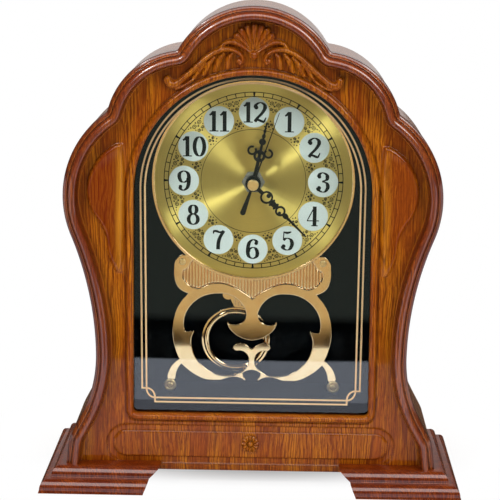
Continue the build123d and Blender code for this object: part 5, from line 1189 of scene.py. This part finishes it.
def buildStage():
    # a square floor whose colour depends on the place and on how the light reaches it
    s = stage
    colour = {key: linear(s[key]) for key in ("table", "band", "room", "warmBand", "warmRoom", "dusk", "white")}
    made, tree, shader = newMaterial("paleFloor", {"Base Color": linear(s["floor"]), "Roughness": 0.6,
                                                   "Specular IOR Level": 0.1})
    path = addNode(tree, "LightPath").node.outputs
    place = addNode(tree, "TexCoord", out="Object")
    split = addNode(tree, "SeparateXYZ", place).node.outputs
    through = addNode(tree, "MapRange", path["Transmission Depth"], *throughGlass)
    # to the eye: the shaded floor under and behind the clock, white beyond
    spot = addNode(tree, "VectorMath", place, (s["shadeSide"], 1, 0), (0, -s["shadeBack"], 0), operation="MULTIPLY_ADD")
    away = addNode(tree, "VectorMath", spot, out="Value", operation="LENGTH")
    fade = addNode(tree, "MapRange", away, *s["fade"], interpolation_type="SMOOTHSTEP")
    seen = addNode(tree, "Math", fade, path["Is Camera Ray"], operation="MULTIPLY")
    white = addNode(tree, "Emission", colour["white"], 1.0)
    eyeFloor = addNode(tree, "MixShader", seen, shader.outputs[0], white)
    # in mirror images: table, band and room by the distance ahead of the clock
    front = addNode(tree, "Math", split["Y"], -1.0, operation="MULTIPLY")
    square = addNode(tree, "Math", split["X"], split["X"], operation="MULTIPLY")
    ahead = addNode(tree, "Math", square, -s["tableCurve"], front, operation="MULTIPLY_ADD")
    coolShare = addNode(tree, "MapRange", ahead, *s["roomRange"])
    cool = addNode(tree, "Mix", coolShare, at={6: colour["band"], 7: colour["room"]}, out=2, data_type="RGBA")
    warmShare = addNode(tree, "MapRange", ahead, *s["warmRange"])
    warm = addNode(tree, "Mix", warmShare, at={6: colour["warmBand"], 7: colour["warmRoom"]}, out=2,
                   data_type="RGBA")
    room = addNode(tree, "Mix", through, at={6: cool, 7: warm}, out=2, data_type="RGBA")
    table = addNode(tree, "Mix", through, at={6: colour["table"], 7: colour["white"]}, out=2, data_type="RGBA")
    beyond = addNode(tree, "MapRange", ahead, *s["tableRange"])
    flat = addNode(tree, "Mix", beyond, at={6: table, 7: room}, out=2, data_type="RGBA")
    # the lit cards at both sides, and dusk behind the clock
    facing = addNode(tree, "MapRange", front, *s["facing"])
    outward = addNode(tree, "Math", split["X"], operation="ABSOLUTE")
    cardStart = addNode(tree, "MapRange", outward, *s["cardStart"])
    cardEnd = addNode(tree, "MapRange", outward, *s["cardEnd"])
    inFront = addNode(tree, "Math", facing, cardStart, operation="MULTIPLY")
    card = addNode(tree, "Math", inFront, cardEnd, operation="MULTIPLY")
    carded = addNode(tree, "Mix", card, at={6: flat, 7: colour["white"]}, out=2, data_type="RGBA")
    lit = addNode(tree, "Mix", facing, at={6: colour["dusk"], 7: carded}, out=2, data_type="RGBA")
    # table and cards shine more than the rest
    onTable = addNode(tree, "MapRange", beyond, 0.0, 1.0, 1.0, 0.0)
    tableGlow = addNode(tree, "MapRange", through, 0.0, 1.0, *s["tableLift"])
    tableLift = addNode(tree, "Math", onTable, tableGlow, operation="MULTIPLY")
    cardGlow = addNode(tree, "MapRange", through, 0.0, 1.0, *s["cardLift"])
    cardLift = addNode(tree, "Math", card, cardGlow, operation="MULTIPLY")
    lift = addNode(tree, "Math", tableLift, cardLift, operation="MAXIMUM")
    glow = addNode(tree, "Math", 1.0, lift, operation="ADD")
    mirrored = addNode(tree, "Emission", lit, glow)
    whole = addNode(tree, "MixShader", path["Is Glossy Ray"], eyeFloor, mirrored)
    tree.links.new(whole, tree.nodes["Material Output"].inputs["Surface"])
    r = s["reach"]
    stageSheet("floor", [(-r, -r, 0), (r, -r, 0), (r, r, 0), (-r, r, 0)], made)


# World: brightness of the tent, and of the side towards the viewer outside the glass and behind it.
studio = {"tent": 0.0407, "viewer": (0.0071, 0.0356), "sideRange": (0.4, -0.4), "topRange": (0.98, 0.6)}


def buildWorld():
    # white to the eye; a soft tent above and behind, dim towards the viewer
    world = bpy.data.worlds.new("studio")
    scene.world = world
    world.use_nodes = True
    tree = world.node_tree
    path = addNode(tree, "LightPath").node.outputs
    split = addNode(tree, "SeparateXYZ", addNode(tree, "TexCoord", out="Generated")).node.outputs
    side = addNode(tree, "MapRange", split["Y"], *studio["sideRange"], interpolation_type="SMOOTHSTEP")
    under = addNode(tree, "MapRange", split["Z"], *studio["topRange"], interpolation_type="SMOOTHSTEP")
    dim = addNode(tree, "Math", side, under, operation="MULTIPLY")
    viewer = addNode(tree, "MapRange", path["Transmission Depth"], *throughGlass, *studio["viewer"])
    tent = addNode(tree, "Mix", dim, at={2: studio["tent"], 3: viewer}, data_type="FLOAT")
    shown = addNode(tree, "Mix", path["Is Camera Ray"], at={2: tent, 3: 1.0}, data_type="FLOAT")
    sky = tree.nodes["Background"]
    sky.inputs["Color"].default_value = (1, 1, 1, 1)
    tree.links.new(shown, sky.inputs["Strength"])


# Lamps and cards: place, target and size in metres, power in watts. The top lamp gives no mirror image.
lamps = {
    "leftSoftbox": {"place": (-0.95, -1.1, 1.3), "target": (0, 0, 0.15), "size": (0.32, 0.32), "power": 14.5},
    "rightSoftbox": {"place": (1.1, -1.05, 1.15), "target": (0, 0, 0.15), "size": (0.75, 0.75), "power": 15},
    "topSoftbox": {"place": (0, 0.1, 1.6), "target": (0, 0.1, 0), "size": (1.0, 1.0), "power": 24, "gloss": False},
}
cards = {
    "frontStrip": {"place": (0, -1.05, 1.3), "target": (0, 0, 0.15), "size": (2.6, 1.2), "glow": 5.2},
    "backSweep": {"place": (0, 1.2, 0.55), "target": (0, 0, 0.25), "size": (2.4, 0.8), "glow": 0.5},
}


def aimed(place, target):
    # the turn of a thing at place that faces target
    return (Vector(target) - Vector(place)).to_track_quat("-Z", "Y")


def addLamp(name, place, target, size, power, gloss=True):
    # a soft rectangular lamp
    lamp = bpy.data.lights.new(name, "AREA")
    lamp.shape = "RECTANGLE"
    lamp.size, lamp.size_y = size
    lamp.energy = power
    holder = bpy.data.objects.new(name, lamp)
    holder.location = place
    holder.rotation_euler = aimed(place, target).to_euler()
    holder.visible_glossy = gloss
    scene.collection.objects.link(holder)


def addCard(name, place, target, size, glow):
    # a clear sheet that shines only in glossy reflections outside the glass
    made, tree, shader = newMaterial(name, {})
    path = addNode(tree, "LightPath").node.outputs
    outside = addNode(tree, "Math", path["Is Glossy Ray"], path["Is Transmission Ray"], operation="SUBTRACT")
    strength = addNode(tree, "Math", outside, glow, operation="MULTIPLY")
    shine = addNode(tree, "Emission", at={"Strength": strength})
    both = addNode(tree, "AddShader", shine, addNode(tree, "BsdfTransparent"))
    tree.links.new(both, tree.nodes["Material Output"].inputs["Surface"])
    turn = aimed(place, target).to_matrix()
    corners = [Vector(place) + turn @ Vector((a * size[0] / 2, b * size[1] / 2, 0))
               for a, b in ((-1, -1), (1, -1), (1, 1), (-1, 1))]
    stageSheet(name, [tuple(corner) for corner in corners], made)


# Camera: where the photograph was taken from. Angles in degrees, place in metres, size in pixels.
camera = {"target": (-0.0020, 0.004, 0.1504), "distance": 0.92, "azimuth": 1.2, "elevation": 13.8, "roll": 0.55,
          "focal": 1418.0, "picture": 500.0, "sensor": 36.0, "clip": (0.01, 50)}


def addCamera():
    # on a ball round the target, turned to it and rolled
    azimuth, elevation, roll = np.radians([camera[k] for k in ("azimuth", "elevation", "roll")])
    back = Vector((np.sin(azimuth) * np.cos(elevation), -np.cos(azimuth) * np.cos(elevation), np.sin(elevation)))
    place = Vector(camera["target"]) + back * camera["distance"]
    data = bpy.data.cameras.new("viewer")
    data.sensor_width = camera["sensor"]
    data.lens = camera["focal"] / camera["picture"] * camera["sensor"]
    data.clip_start, data.clip_end = camera["clip"]
    viewer = bpy.data.objects.new("viewer", data)
    turn = aimed(place, camera["target"]).to_matrix() @ Matrix.Rotation(roll, 3, "Z")
    viewer.matrix_world = Matrix.Translation(place) @ turn.to_4x4()
    scene.collection.objects.link(viewer)
    bpy.context.scene.camera = viewer


buildStage()
buildWorld()
for name, lamp in lamps.items():
    addLamp(name, **lamp)
for name, card in cards.items():
    addCard(name, **card)
addCamera()
bpy.context.scene.view_settings.view_transform = "Standard"

print("scene ready")
